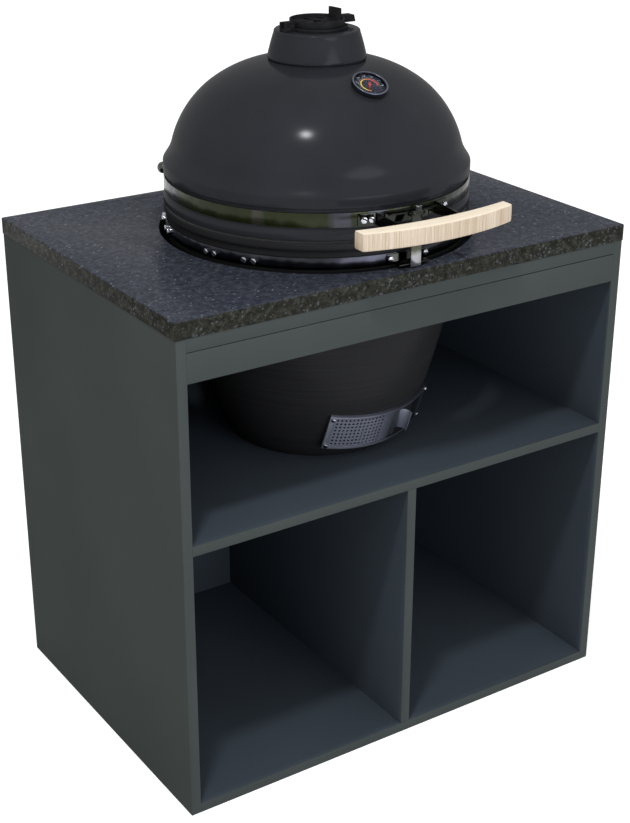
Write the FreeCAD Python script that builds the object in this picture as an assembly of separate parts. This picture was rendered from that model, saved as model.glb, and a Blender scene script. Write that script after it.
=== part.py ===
import FreeCAD, Part
import math
import os
from FreeCAD import Vector

# Kamado grill table: a board cabinet with a stone worktop, and a ceramic charcoal grill that stands on the
# cabinet's shelf and rises through a round cut-out. Millimetres. The origin is the centre of the cabinet's
# footprint on the floor, +Z is up and the front faces -Y.

# Cabinet boards
CABINET_WIDTH = 900.0
CABINET_HEIGHT = 866.0
PANEL = 18.0
TOP_BOARD = 22.0
HOUSING = 6.0
HOUSING_STOP = 12.0
HOUSING_BACK_STOP = 6.0
RAIL_HEIGHT = 50.0
RAIL_SEAM = 1.2
RAIL_STOP = 6.0

# Stone worktop
STONE = 30.0
STONE_OVERHANG = 1.0
STONE_EASE = 1.5
CUTOUT_CLEARANCE = 9.7
BOARD_CUTOUT_STEP = 4.0
STONE_FRONT_STRIP = 25.0
STONE_BACK_STRIP = 57.0

# Ceramic bowl: radii from the grill's axis, heights above the shelf
RIM_ABOVE_STONE = 46.8
BOWL_HEIGHT = 427.8
BOWL_FOOT_RADIUS = 155.3
VENT_SEAT_LOW = 17.0
VENT_SEAT_LOW_RADIUS = 168.4
VENT_SEAT_HIGH = 95.0
VENT_SEAT_HIGH_RADIUS = 199.6
BOWL_SHOULDER_HEIGHT = 365.0
BOWL_SHOULDER_RADIUS = 259.0
BOWL_BULGE = 5.3
BOWL_RINGS = 2
BOWL_FLOOR = 26.0
BOWL_FLOOR_RADIUS = 149.3
SEAT_RADIUS = 262.0
LIP_RADIUS = 266.3
LIP_CHAMFER = 4.7
MOUTH_RADIUS = 240.0
BOWL_LIP = 11.2
BOWL_SEAT = 32.0

# Felt gasket on the bowl's rim
GASKET = 3.7
GASKET_INSET = 2.0
JOINT_GAP = 0.3

# Ceramic dome: heights above the lid's lower edge
LID_LIP = 10.5
LID_CHAMFER = 8.4
RIM_RADIUS = 265.3
RIM_BOTTOM = 51.7
RIM_TOP = 69.7
DOME_BASE_RADIUS = 248.5
DOME_BASE_HEIGHT = 103.5
DOME_SHOULDER_RADIUS = 189.4
DOME_SHOULDER_HEIGHT = 193.1
DOME_SIDE_BULGE = 8.2
DOME_SIDE_RINGS = 7
DOME_CROWN_RADIUS = 84.0
DOME_CROWN_HEIGHT = 237.5
DOME_CROWN_BULGE = 7.7
DOME_CROWN_RINGS = 9
DOME_WALL = 22.0
DOME_SHOULDER_INSET = 16.5
NECK_HEIGHT = 50.2
NECK_TOP_RADIUS = 69.7
NECK_CHAMFER = 3.2
NECK_CHAMFER_DROP = 4.6
CHIMNEY_BORE = 46.0

# Steel clamp bands
BAND_THICKNESS = 2.8
LOWER_BAND_HEIGHT = 20.0
LOWER_BAND_DROP = 24.8
UPPER_BAND_HEIGHT = 23.8
UPPER_BAND_LIFT = 21.6
BRACKET_STEEL = 2.5
STRIP_GAP = 0.12
CLAMP_AZIMUTH = 130.0
CLAMP_GAP = 8.0
CLAMP_EAR = 17.0
CLAMP_BOLT_FLATS = 6.0

# Hinge behind the lid
HINGE_BEHIND = 32.0
HINGE_HALF_WIDTH = 128.0
HINGE_EAR = 4.0
HINGE_EAR_GAP = 2.0
HINGE_PIN_RADIUS = 5.0
HINGE_BOSS_RADIUS = 12.0
HINGE_STRIP_SWEEP = 60.0
HINGE_STRIP_EDGE = 2.0
HINGE_EAR_SLOPE = 8.4
HINGE_BOLT_ANGLES = (-20.0, -8.0, 8.0, 20.0)
HINGE_NUT_RADIUS = 9.8
HINGE_NUT_LENGTH = 15.7
HINGE_NUT_RIM = 6.9
HINGE_NUT_TIP = 4.9
HINGE_NUT_PLAY = 0.5
RUNNING_CLEARANCE = 0.05

# Side-shelf fasteners on the lower band: azimuths from the front towards +X
SIDE_BOLT_AZIMUTHS = (55.8, 59.5, 72.0, 76.0, 104.0, 108.0, 120.5, 124.2)
SIDE_BOLT_FLATS = 9.0
SIDE_BOLT_STAND = 6.0

# Handle, its brackets and the latch
HANDLE_HALF_LENGTH = 147.2
HANDLE_HEIGHT = 29.3
HANDLE_OUTER_ARC = 481.7
HANDLE_INNER_ARC = 698.4
HANDLE_REACH = 388.7
HANDLE_THICKNESS = 31.6
HANDLE_CHAMFER = 2.0
HANDLE_LIFT = 12.5
WEB_X = 58.0
FLANGE_END_X = 88.0
WEB_HEIGHT = 20.0
WEB_LIFT = 1.5
WEB_TIP_HEIGHT = 13.0
BRACKET_FOOT = 26.0
FOOT_GAP = 0.15
SCREW_PLACES = (0.36, 0.78)
SCREW_SHANK = 4.0
SCREW_HEAD = 8.0
SCREW_HEAD_HEIGHT = 2.4
SCREW_DEPTH = 18.0
BAND_BOLT_FLATS = 10.0
BAND_BOLT_HEIGHT = 4.5
OUTER_BOLT_X = 80.0
INNER_BOLT_X = 68.0
PLATE_NUT_X = 14.0
PLATE_NUT_REACH = 275.0
LATCH_PLATE_HALF = 44.0
LATCH_PLATE_REACH = 285.0
LATCH_STRAP_WIDTH = 20.0
LATCH_STRAP_STEEL = 2.0
LATCH_PIN_RADIUS = 2.0
LATCH_EYE_RADIUS = 4.0
LATCH_EAR = 3.0
LATCH_SIDE_PLAY = 0.5
LATCH_GAP = 0.8
CATCH_HALF = 38.0
CATCH_LIP_HALF = 30.0
CATCH_LIFT = 3.0
CATCH_EDGE = 1.0
CATCH_BOLT_LIFT = 2.0
STRAP_OVERLAP = 3.0

# Thermometer on the front of the dome
GAUGE_RADIUS = 30.2
GAUGE_AT_RADIUS = 152.0
GAUGE_SEAT_RADIUS = 13.0
GAUGE_SEAT_PLAY = 0.2
GAUGE_SEAT_DEPTH = 1.2
GAUGE_STAND = 1.4
GAUGE_DEPTH = 6.8
GAUGE_FLOOR = 1.5
GAUGE_WALL = 1.6
BEZEL_LIP = 4.6
BEZEL = 0.9
GLASS = 1.4
GLASS_PLAY = 0.05
DIAL = 0.8
NEEDLE_LIFT = 0.6
NEEDLE = 0.6
NEEDLE_HUB = 2.6
NEEDLE_LENGTH = 21.0
NEEDLE_TAIL = 6.0
NEEDLE_WIDTH = 3.0
NEEDLE_REST = 148.0
STEM_RADIUS = 3.5
STEM_PLAY = 0.3
STEM_LENGTH = 88.0
GAUGE_NUT = 17.0
GAUGE_NUT_HEIGHT = 6.0
GAUGE_NUT_DEPTH = 34.0

# Cast-iron chimney top
COLLAR_RADIUS = 51.8
COLLAR_HEIGHT = 5.5
COLLAR_BORE = 38.0
PRONG_DEPTH = 18.0
PRONG_STEEL = 4.0
PRONG_WIDTH = 20.0
PRONG_COUNT = 4
PRONG_PLAY = 1.0
CAP_RADIUS = 46.6
CAP_WALL = 3.4
CAP_HEIGHT = 11.0
CAP_FLOOR = 3.2
CAP_GAP = 0.3
DAMPER = 3.0
DAMPER_CLEARANCE = 0.6
SLOT_COUNT = 6
SLOT_INNER = 12.0
SLOT_OUTER = 35.0
SLOT_ANGLE = 26.0
TAB_WIDTH = 32.0
TAB_HEIGHT = 21.0
TAB_STEEL = 4.0
TAB_AZIMUTH = 95.0
RIVET_RADIUS = 4.0
RIVET_FLATS = 14.0
RIVET_HEAD = 1.8
CAP_HINGE_REACH = 61.0
CAP_HINGE_PIN = 2.5
CAP_LUG = 8.0
CAP_FORK = 4.5
CAP_LIFT_REACH = 71.0
CAP_LIFT_WIDTH = 18.0
CAP_LIFT_TAPER = 1.5
CAP_LIFT_RISE = 0.5

# Bottom vent: a frame rolled about an axis that leans outwards with the bowl. Angles are from its middle,
# heights up its slope from its lower edge, and distances out from its seat.
VENT_AZIMUTH = 7.0
VENT_TILT = 20.0
VENT_LIFT = 22.4
VENT_SINK = 0.5
VENT_SEAT_RADIUS = 202.0
VENT_HEIGHT = 72.0
VENT_HALF_ANGLE = 32.5
VENT_END_ANGLE = 3.0
VENT_PLAY = 0.8
VENT_BACK = 0.3
VENT_FRONT = 10.0
VENT_SHEET = 1.2
VENT_LIP = 5.0
VENT_RAIL = 1.6
WINDOW_HALF_ANGLE = 10.0
WINDOW_LOW = 38.0
WINDOW_HIGH = 76.0
DOOR_OUT = 3.0
SCREEN_OUT = 6.0
SHEET_PLAY = 0.6
DOOR_FROM = -15.0
DOOR_TO = 9.5
SCREEN_FROM = -29.3
PLAIN_FLATS = 3
HOLE_ROWS = 8
HOLE_COLUMNS = 13
HOLE_SIZE = 3.4
HOLE_PITCH = 7.6
HOLE_STEP_ANGLE = 2.05
CURL_RADIUS = 12.0
CURL_ANGLE = 115.0
CURL_LOW = 15.0
CURL_HEIGHT = 42.0
VENT_BOLT = 7.0
VENT_BOLT_HEIGHT = 3.0
VENT_BOLT_INSET = 6.0
VENT_SHANK = 4.0
VENT_SHANK_DEPTH = 12.0

# Inside the bowl: a fire box and ring of flat refractory sides, corner radii from the axis
FIRE_SIDES = 12
FIRE_BOX_FOOT = 136.0
FIRE_BOX_TOP = 196.0
FIRE_BOX_HEIGHT = 199.0
FIRE_BOX_WALL = 18.0
ASH_SPACE = 36.0
ASH_SPACE_RADIUS = 118.0
GRATE_LEDGE = 20.0
GRATE_LEDGE_RADIUS = 100.0
ASH_DOOR_ANGLE = 30.0
GRATE_RADIUS = 112.0
GRATE_THICKNESS = 8.0
GRATE_PLAY = 2.0
GRATE_SLOTS = 7
GRATE_RIM = 13.4
GRATE_SLOT_WIDTH = 12.0
GRATE_PITCH = 24.0
FIRE_RING_HEIGHT = 132.0
FIRE_RING_TOP = 222.0
GRID_RADIUS = 217.0
GRID_THICKNESS = 8.0
GRID_RIM = 10.0
GRID_SLOTS = 15
GRID_SLOT_WIDTH = 16.0
GRID_PITCH = 24.0

# Half of a full circle, in degrees
HALF_TURN = 180.0

# How far a piece runs on into the one it joins, or a cut runs past the face it opens
JOIN = 1.0

# Levels that follow from the sizes above
STONE_TOP = CABINET_HEIGHT + STONE
SLOT_PITCH = 2 * HALF_TURN / SLOT_COUNT
DAMPER_REST_ANGLE = SLOT_PITCH / 4
BOWL_TOP = STONE_TOP + RIM_ABOVE_STONE
SHELF_TOP = BOWL_TOP - BOWL_HEIGHT
CUTOUT_RADIUS = LIP_RADIUS + CUTOUT_CLEARANCE
STONE_DEPTH = STONE_FRONT_STRIP + 2 * CUTOUT_RADIUS + STONE_BACK_STRIP
CABINET_DEPTH = STONE_DEPTH - 2 * STONE_OVERHANG
GRILL_Y = (STONE_FRONT_STRIP - STONE_BACK_STRIP) / 2
INNER = CABINET_WIDTH / 2 - PANEL
FRONT = -CABINET_DEPTH / 2
BACK = CABINET_DEPTH / 2
BACK_FACE = BACK - PANEL
SHELF_BOTTOM = SHELF_TOP - PANEL
BOARD_BOTTOM = CABINET_HEIGHT - TOP_BOARD
LID_Z = BOWL_TOP + GASKET + JOINT_GAP
JOINT_Z = (BOWL_TOP + LID_Z) / 2
LOWER_BAND_Z = BOWL_TOP - LOWER_BAND_DROP - LOWER_BAND_HEIGHT
UPPER_BAND_Z = LID_Z + UPPER_BAND_LIFT
BAND_OUT = SEAT_RADIUS + BAND_THICKNESS
BRACKET_OUT = BAND_OUT + BRACKET_STEEL
NECK_TOP_Z = LID_Z + DOME_CROWN_HEIGHT + NECK_HEIGHT
HINGE_Y = GRILL_Y + LIP_RADIUS + BRACKET_STEEL + HINGE_BEHIND + HINGE_BOSS_RADIUS
GRATE_Z = SHELF_TOP + BOWL_FLOOR + ASH_SPACE + GRATE_LEDGE
FIRE_RING_Z = SHELF_TOP + BOWL_FLOOR + FIRE_BOX_HEIGHT
GRID_Z = FIRE_RING_Z + FIRE_RING_HEIGHT


def box(x0, x1, y0, y1, z0, z1):
    return Part.makeBox(x1 - x0, y1 - y0, z1 - z0, Vector(x0, y0, z0))


def rod(start, end, radius):
    return Part.makeCylinder(radius, (end - start).Length, start, end - start)


def hex_bar(start, end, flats):
    axis = (end - start).normalize()
    side = axis.cross(Vector(0, 0, 1))
    if side.Length < 0.1:
        side = Vector(1, 0, 0)
    side.normalize()
    across = axis.cross(side)
    corner = flats / math.sqrt(3)
    ring = []
    for i in range(6):
        angle = 2 * math.pi * i / 6
        ring.append(start + side * (corner * math.cos(angle)) + across * (corner * math.sin(angle)))
    return Part.Face(Part.makePolygon(ring + ring[:1])).extrude(end - start)


def side_plate(x0, x1, points):
    """A plate square to X, from its (y, z) outline."""
    ring = [Vector(x0, y, z) for y, z in points]
    return Part.Face(Part.makePolygon(ring + ring[:1])).extrude(Vector(x1 - x0, 0, 0))


def outline(stops):
    """A face in the XZ plane. A stop is (radius, height), or (radius, height, bulge, rings) where the run
    that ends there is an arc, kept as that many straight rings, that bows by the bulge to its right."""
    points = []
    for i, stop in enumerate(stops):
        end = Vector(stop[0], 0, stop[1])
        if len(stop) == 4:
            start = Vector(stops[i - 1][0], 0, stops[i - 1][1])
            points += arc_run(start, end, stop[2]).discretize(stop[3] + 1)[1:-1]
        points.append(end)
    return Part.Face(Part.makePolygon(points + points[:1]))


def arc_run(start, end, bulge):
    run = (end - start).normalize()
    middle = (start + end) * 0.5 + Vector(run.z, 0, -run.x) * bulge
    return Part.Arc(start, middle, end).toShape()


def turned(shape, azimuth):
    """A copy turned about the grill's axis, from the front towards +X."""
    copy = shape.copy()
    copy.rotate(Vector(0, GRILL_Y, 0), Vector(0, 0, 1), azimuth)
    return copy


def about_z(stops, low, high):
    """A solid turned about the Z axis between two azimuths from the front."""
    solid = outline(stops).revolve(Vector(0, 0, 0), Vector(0, 0, 1), high - low)
    solid.rotate(Vector(0, 0, 0), Vector(0, 0, 1), low - HALF_TURN / 2)
    return solid


def spin(stops, low=-HALF_TURN, high=HALF_TURN):
    """The same about the grill's axis."""
    solid = about_z(stops, low, high)
    solid.translate(Vector(0, GRILL_Y, 0))
    return solid


def sector(r0, r1, z0, z1, low=-HALF_TURN, high=HALF_TURN):
    return spin([(r0, z0), (r1, z0), (r1, z1), (r0, z1)], low, high)


def azimuth_of(x, radius):
    return math.degrees(math.asin(x / radius))


def on_grill(radius, z):
    """A point at the front of the grill, at a distance from its axis."""
    return Vector(0, GRILL_Y - radius, z)


def mirrored(shape):
    return shape.mirror(Vector(0, 0, 0), Vector(1, 0, 0))


def pair(shape):
    return Part.makeCompound([shape, mirrored(shape)])


# Cabinet

def shelf_board(y1, z0, z1, y0=FRONT):
    body = box(-INNER, INNER, y0, y1, z0, z1)
    ends = box(-INNER - HOUSING, INNER + HOUSING, y0 + HOUSING_STOP, y1 - HOUSING_BACK_STOP, z0, z1)
    return body.fuse(ends).removeSplitter()


def make_cabinet():
    bottom = shelf_board(BACK, 0, PANEL)
    shelf = shelf_board(BACK_FACE, SHELF_BOTTOM, SHELF_TOP)
    top = shelf_board(BACK, BOARD_BOTTOM, CABINET_HEIGHT)
    rail_top = BOARD_BOTTOM - RAIL_SEAM
    rail = box(-INNER, INNER, FRONT, FRONT + PANEL, rail_top - RAIL_HEIGHT, rail_top)
    rail_ends = box(-INNER - HOUSING, INNER + HOUSING, FRONT + RAIL_STOP, FRONT + PANEL,
                    rail_top - RAIL_HEIGHT, rail_top)
    rail = rail.fuse(rail_ends).removeSplitter()
    divider = box(-PANEL / 2, PANEL / 2, FRONT, BACK_FACE, PANEL, SHELF_BOTTOM)
    divider_ends = box(-PANEL / 2, PANEL / 2, FRONT + HOUSING_STOP, BACK_FACE - HOUSING_STOP,
                       PANEL - HOUSING, SHELF_BOTTOM + HOUSING)
    divider = divider.fuse(divider_ends).removeSplitter()
    back = box(-INNER, INNER, BACK_FACE, BACK, PANEL, BOARD_BOTTOM)
    side = box(INNER, INNER + PANEL, FRONT, BACK, 0, CABINET_HEIGHT)
    for board in (bottom, shelf, top, rail):
        side = side.cut(board)
    hole = Part.makeCylinder(CUTOUT_RADIUS + BOARD_CUTOUT_STEP, TOP_BOARD, Vector(0, GRILL_Y, BOARD_BOTTOM))
    return {
        "left_side_panel": mirrored(side),
        "right_side_panel": side,
        "bottom_board": bottom.cut(divider),
        "middle_shelf": shelf.cut(divider),
        "centre_divider": divider,
        "back_panel": back,
        "top_board": top.cut(hole),
        "front_rail": rail,
        "stone_worktop": make_stone(),
    }


def make_stone():
    half_x = CABINET_WIDTH / 2 + STONE_OVERHANG
    slab = box(-half_x, half_x, -STONE_DEPTH / 2, STONE_DEPTH / 2, CABINET_HEIGHT, STONE_TOP)
    upper = [e for e in slab.Edges if all(abs(v.Z - STONE_TOP) < 1e-6 for v in e.Vertexes)]
    slab = slab.makeChamfer(STONE_EASE, upper)
    return slab.cut(Part.makeCylinder(CUTOUT_RADIUS, STONE, Vector(0, GRILL_Y, CABINET_HEIGHT)))


# Grill body

def make_bowl():
    lip_bottom = BOWL_TOP - BOWL_LIP
    seat_top = lip_bottom - LIP_CHAMFER
    inner_top = BOWL_TOP - BOWL_LIP - LIP_CHAMFER - BOWL_SEAT
    bowl = spin([
        (0, SHELF_TOP),
        (BOWL_FOOT_RADIUS, SHELF_TOP),
        (VENT_SEAT_LOW_RADIUS, SHELF_TOP + VENT_SEAT_LOW),
        (VENT_SEAT_HIGH_RADIUS, SHELF_TOP + VENT_SEAT_HIGH),
        (BOWL_SHOULDER_RADIUS, SHELF_TOP + BOWL_SHOULDER_HEIGHT, BOWL_BULGE, BOWL_RINGS),
        (SEAT_RADIUS, seat_top - BOWL_SEAT),
        (SEAT_RADIUS, seat_top),
        (LIP_RADIUS, lip_bottom),
        (LIP_RADIUS, BOWL_TOP),
        (MOUTH_RADIUS, BOWL_TOP),
        (MOUTH_RADIUS, inner_top),
        (BOWL_FLOOR_RADIUS, SHELF_TOP + BOWL_FLOOR),
        (0, SHELF_TOP + BOWL_FLOOR),
    ])
    window = sector(FIRE_BOX_FOOT, LIP_RADIUS, SHELF_TOP + WINDOW_LOW, SHELF_TOP + WINDOW_HIGH,
                    VENT_AZIMUTH - WINDOW_HALF_ANGLE, VENT_AZIMUTH + WINDOW_HALF_ANGLE)
    return bowl.cut(window)


def make_dome():
    dome_foot = LID_Z + DOME_BASE_HEIGHT
    shoulder = LID_Z + DOME_SHOULDER_HEIGHT
    crown = LID_Z + DOME_CROWN_HEIGHT
    lip_top = LID_Z + LID_LIP
    return spin([
        (MOUTH_RADIUS, LID_Z),
        (LIP_RADIUS, LID_Z),
        (LIP_RADIUS, lip_top),
        (SEAT_RADIUS, lip_top + LID_CHAMFER),
        (SEAT_RADIUS, LID_Z + RIM_BOTTOM),
        (RIM_RADIUS, LID_Z + RIM_BOTTOM),
        (RIM_RADIUS, LID_Z + RIM_TOP),
        (DOME_BASE_RADIUS, dome_foot),
        (DOME_SHOULDER_RADIUS, shoulder, DOME_SIDE_BULGE, DOME_SIDE_RINGS),
        (DOME_CROWN_RADIUS, crown, DOME_CROWN_BULGE, DOME_CROWN_RINGS),
        (NECK_TOP_RADIUS + NECK_CHAMFER, NECK_TOP_Z - NECK_CHAMFER_DROP),
        (NECK_TOP_RADIUS, NECK_TOP_Z),
        (CHIMNEY_BORE, NECK_TOP_Z),
        (CHIMNEY_BORE, crown - DOME_WALL),
        (DOME_SHOULDER_RADIUS - DOME_SHOULDER_INSET, shoulder - DOME_SHOULDER_INSET),
        (MOUTH_RADIUS, LID_Z + RIM_TOP - DOME_WALL),
    ])


def make_gasket():
    return sector(MOUTH_RADIUS + GASKET_INSET, LIP_RADIUS - GASKET_INSET, BOWL_TOP, BOWL_TOP + GASKET)


def make_band(z0, height):
    """A clamp band with its split and two ears, and the bolt that draws them together."""
    half_gap = CLAMP_GAP / 2
    gap_angle = azimuth_of(half_gap, SEAT_RADIUS)
    ring = sector(SEAT_RADIUS, BAND_OUT, z0, z0 + height, gap_angle, 2 * HALF_TURN - gap_angle)
    near = GRILL_Y - math.sqrt(SEAT_RADIUS ** 2 - half_gap ** 2) - BAND_THICKNESS / 2
    far = near - CLAMP_EAR
    middle = z0 + height / 2
    centre = (near + far) / 2 - BAND_THICKNESS / 2
    face = half_gap + BAND_THICKNESS
    shank = hex_bar(Vector(-face, centre, middle), Vector(face, centre, middle), CLAMP_BOLT_FLATS)
    ears = [
        box(min(a, b), max(a, b), far, near, z0, z0 + height)
        for a, b in ((half_gap, face), (-half_gap, -face))
    ]
    ring = ring.fuse(ears).removeSplitter().cut(shank)
    ends = []
    for s in (-1, 1):
        start = Vector(s * face, centre, middle)
        ends.append(hex_bar(start, start + Vector(s * BAND_BOLT_HEIGHT, 0, 0), BAND_BOLT_FLATS))
    bolt = shank.fuse(ends).removeSplitter()
    return turned(ring, CLAMP_AZIMUTH), turned(bolt, CLAMP_AZIMUTH)


def stud(azimuth, radius, z, flats, height):
    """A hexagon head on the outside of a band or bracket, square to the grill's axis."""
    return turned(hex_bar(on_grill(radius, z), on_grill(radius + height, z), flats), azimuth)


def make_side_bolts():
    middle = LOWER_BAND_Z + LOWER_BAND_HEIGHT / 2
    right = [stud(a, BAND_OUT, middle, SIDE_BOLT_FLATS, SIDE_BOLT_STAND) for a in SIDE_BOLT_AZIMUTHS]
    left = [stud(-a, BAND_OUT, middle, SIDE_BOLT_FLATS, SIDE_BOLT_STAND) for a in SIDE_BOLT_AZIMUTHS]
    return Part.makeCompound(right + left)


# Hinge

def make_hinge_bracket(z0, z1, x_out):
    """A strip round the back of a band, with an ear at each end that carries the hinge pin."""
    half = HINGE_STRIP_SWEEP / 2
    strip = sector(BAND_OUT + STRIP_GAP, BRACKET_OUT, z0, z1, HALF_TURN - half, HALF_TURN + half)
    x_in = x_out - HINGE_EAR
    root = GRILL_Y + math.sqrt((BAND_OUT + STRIP_GAP) ** 2 - x_in ** 2)
    clear = GRILL_Y + math.sqrt(LIP_RADIUS ** 2 - x_in ** 2) + BRACKET_STEEL
    below = z1 < JOINT_Z
    band_near, band_far = (z1, z0) if below else (z0, z1)
    side = -1 if below else 1
    pin = Vector(x_in, HINGE_Y, JOINT_Z)
    slope = HINGE_EAR_SLOPE
    points = [
        (root, band_far),
        (root, band_near),
        (clear, band_near),
        (HINGE_Y - slope, JOINT_Z - side * slope),
        (HINGE_Y + slope, JOINT_Z + side * slope),
        (clear + BRACKET_STEEL, band_far),
    ]
    through = pin + Vector(HINGE_EAR, 0, 0)
    ear = side_plate(x_in, x_out, points).fuse(rod(pin, through, HINGE_BOSS_RADIUS))
    hole = rod(pin, through, HINGE_PIN_RADIUS + RUNNING_CLEARANCE)
    ear = ear.removeSplitter().cut(hole)
    return strip.fuse([ear, mirrored(ear)]).removeSplitter()


def hinge_bolts(z0, z1):
    middle = (z0 + z1) / 2
    bolts = []
    for angle in HINGE_BOLT_ANGLES:
        bolts.append(stud(HALF_TURN + angle, BRACKET_OUT, middle, BAND_BOLT_FLATS, BAND_BOLT_HEIGHT))
    return Part.makeCompound(bolts)


def make_hinge():
    edge = HINGE_STRIP_EDGE
    base_low, base_high = LOWER_BAND_Z + edge, LOWER_BAND_Z + LOWER_BAND_HEIGHT - edge
    lid_low, lid_high = UPPER_BAND_Z + edge, UPPER_BAND_Z + UPPER_BAND_HEIGHT - edge
    lid_ear = HINGE_HALF_WIDTH - HINGE_EAR - HINGE_EAR_GAP
    nut_start = HINGE_HALF_WIDTH + HINGE_NUT_PLAY
    pin_end = nut_start + HINGE_NUT_RIM
    pin = rod(Vector(-pin_end, HINGE_Y, JOINT_Z), Vector(pin_end, HINGE_Y, JOINT_Z), HINGE_PIN_RADIUS)
    nut = outline([
        (HINGE_PIN_RADIUS, 0),
        (HINGE_NUT_RADIUS, 0),
        (HINGE_NUT_RADIUS, HINGE_NUT_RIM),
        (HINGE_NUT_TIP, HINGE_NUT_LENGTH),
        (0, HINGE_NUT_LENGTH),
        (0, HINGE_NUT_RIM),
        (HINGE_PIN_RADIUS, HINGE_NUT_RIM),
    ]).revolve(Vector(0, 0, 0), Vector(0, 0, 1), 2 * HALF_TURN)
    nut.rotate(Vector(0, 0, 0), Vector(0, 1, 0), HALF_TURN / 2)
    nut.translate(Vector(nut_start, HINGE_Y, JOINT_Z))
    return {
        "hinge_base_bracket": make_hinge_bracket(base_low, base_high, HINGE_HALF_WIDTH),
        "hinge_base_bolts": hinge_bolts(base_low, base_high),
        "hinge_lid_bracket": make_hinge_bracket(lid_low, lid_high, lid_ear),
        "hinge_lid_bolts": hinge_bolts(lid_low, lid_high),
        "hinge_pin": pin,
        "hinge_dome_nuts": pair(nut),
    }


# Handle and latch

def arc_column(radius, centre_y, z0, z1):
    return Part.makeCylinder(radius, z1 - z0, Vector(0, centre_y, z0))


def handle_inner_centre():
    return HANDLE_INNER_ARC - HANDLE_REACH + HANDLE_THICKNESS


def make_handle():
    z0 = UPPER_BAND_Z + UPPER_BAND_HEIGHT / 2 - HANDLE_HEIGHT + HANDLE_LIFT
    z1 = z0 + HANDLE_HEIGHT
    bar = box(-HANDLE_HALF_LENGTH, HANDLE_HALF_LENGTH, -HANDLE_REACH - JOIN, -HANDLE_REACH / 2, z0, z1)
    bar = bar.common(arc_column(HANDLE_OUTER_ARC, HANDLE_OUTER_ARC - HANDLE_REACH, z0, z1))
    bar = bar.cut(arc_column(HANDLE_INNER_ARC, handle_inner_centre(), z0, z1))
    return bar.makeChamfer(HANDLE_CHAMFER, bar.Edges), z0


def handle_face_y(x):
    return handle_inner_centre() - math.sqrt(HANDLE_INNER_ARC ** 2 - x ** 2)


def foot_points(y_shift=0.0):
    """The plan of the bracket's foot along the handle's inner face, straight between its two ends."""
    x0, x1 = WEB_X, WEB_X + BRACKET_FOOT
    y0, y1 = handle_face_y(x0) + y_shift, handle_face_y(x1) + y_shift
    return [(x0, y0), (x1, y1), (x1, y1 + BRACKET_STEEL), (x0, y0 + BRACKET_STEEL)]


def make_handle_bracket(handle_z):
    """The right-hand bracket: a flange on the band, an upright web and a foot behind the handle."""
    low = UPPER_BAND_Z + WEB_LIFT
    flange = sector(BAND_OUT, BRACKET_OUT, low, low + WEB_HEIGHT, azimuth_of(WEB_X, BAND_OUT),
                    azimuth_of(FLANGE_END_X, BAND_OUT))
    middle = handle_z + HANDLE_HEIGHT / 2
    root = GRILL_Y - math.sqrt(BAND_OUT ** 2 - WEB_X ** 2) - BRACKET_STEEL / 2
    tip = handle_face_y(WEB_X) + BRACKET_STEEL / 2
    tip_low, tip_high = middle - WEB_TIP_HEIGHT / 2, middle + WEB_TIP_HEIGHT / 2
    web = side_plate(WEB_X, WEB_X + BRACKET_STEEL,
                     [(root, low), (root, low + WEB_HEIGHT), (tip, tip_high), (tip, tip_low)])
    plan = [Vector(x, y, tip_low) for x, y in foot_points(FOOT_GAP)]
    foot = Part.Face(Part.makePolygon(plan + plan[:1])).extrude(Vector(0, 0, WEB_TIP_HEIGHT))
    return flange.fuse([web, foot]).removeSplitter(), middle


def make_handle_screws(middle):
    """Two screws through the right-hand bracket's foot into the wood."""
    (x0, y0), (x1, y1) = foot_points(FOOT_GAP)[:2]
    screws = []
    inward = Vector(y0 - y1, x1 - x0, 0).normalize()
    for share in SCREW_PLACES:
        at = Vector(x0 + (x1 - x0) * share, y0 + (y1 - y0) * share, middle) + inward * BRACKET_STEEL
        head = hex_bar(at, at + inward * SCREW_HEAD_HEIGHT, SCREW_HEAD)
        shank = hex_bar(at - inward * SCREW_DEPTH, at, SCREW_SHANK)
        screws.append(head.fuse(shank).removeSplitter())
    return screws


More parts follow.
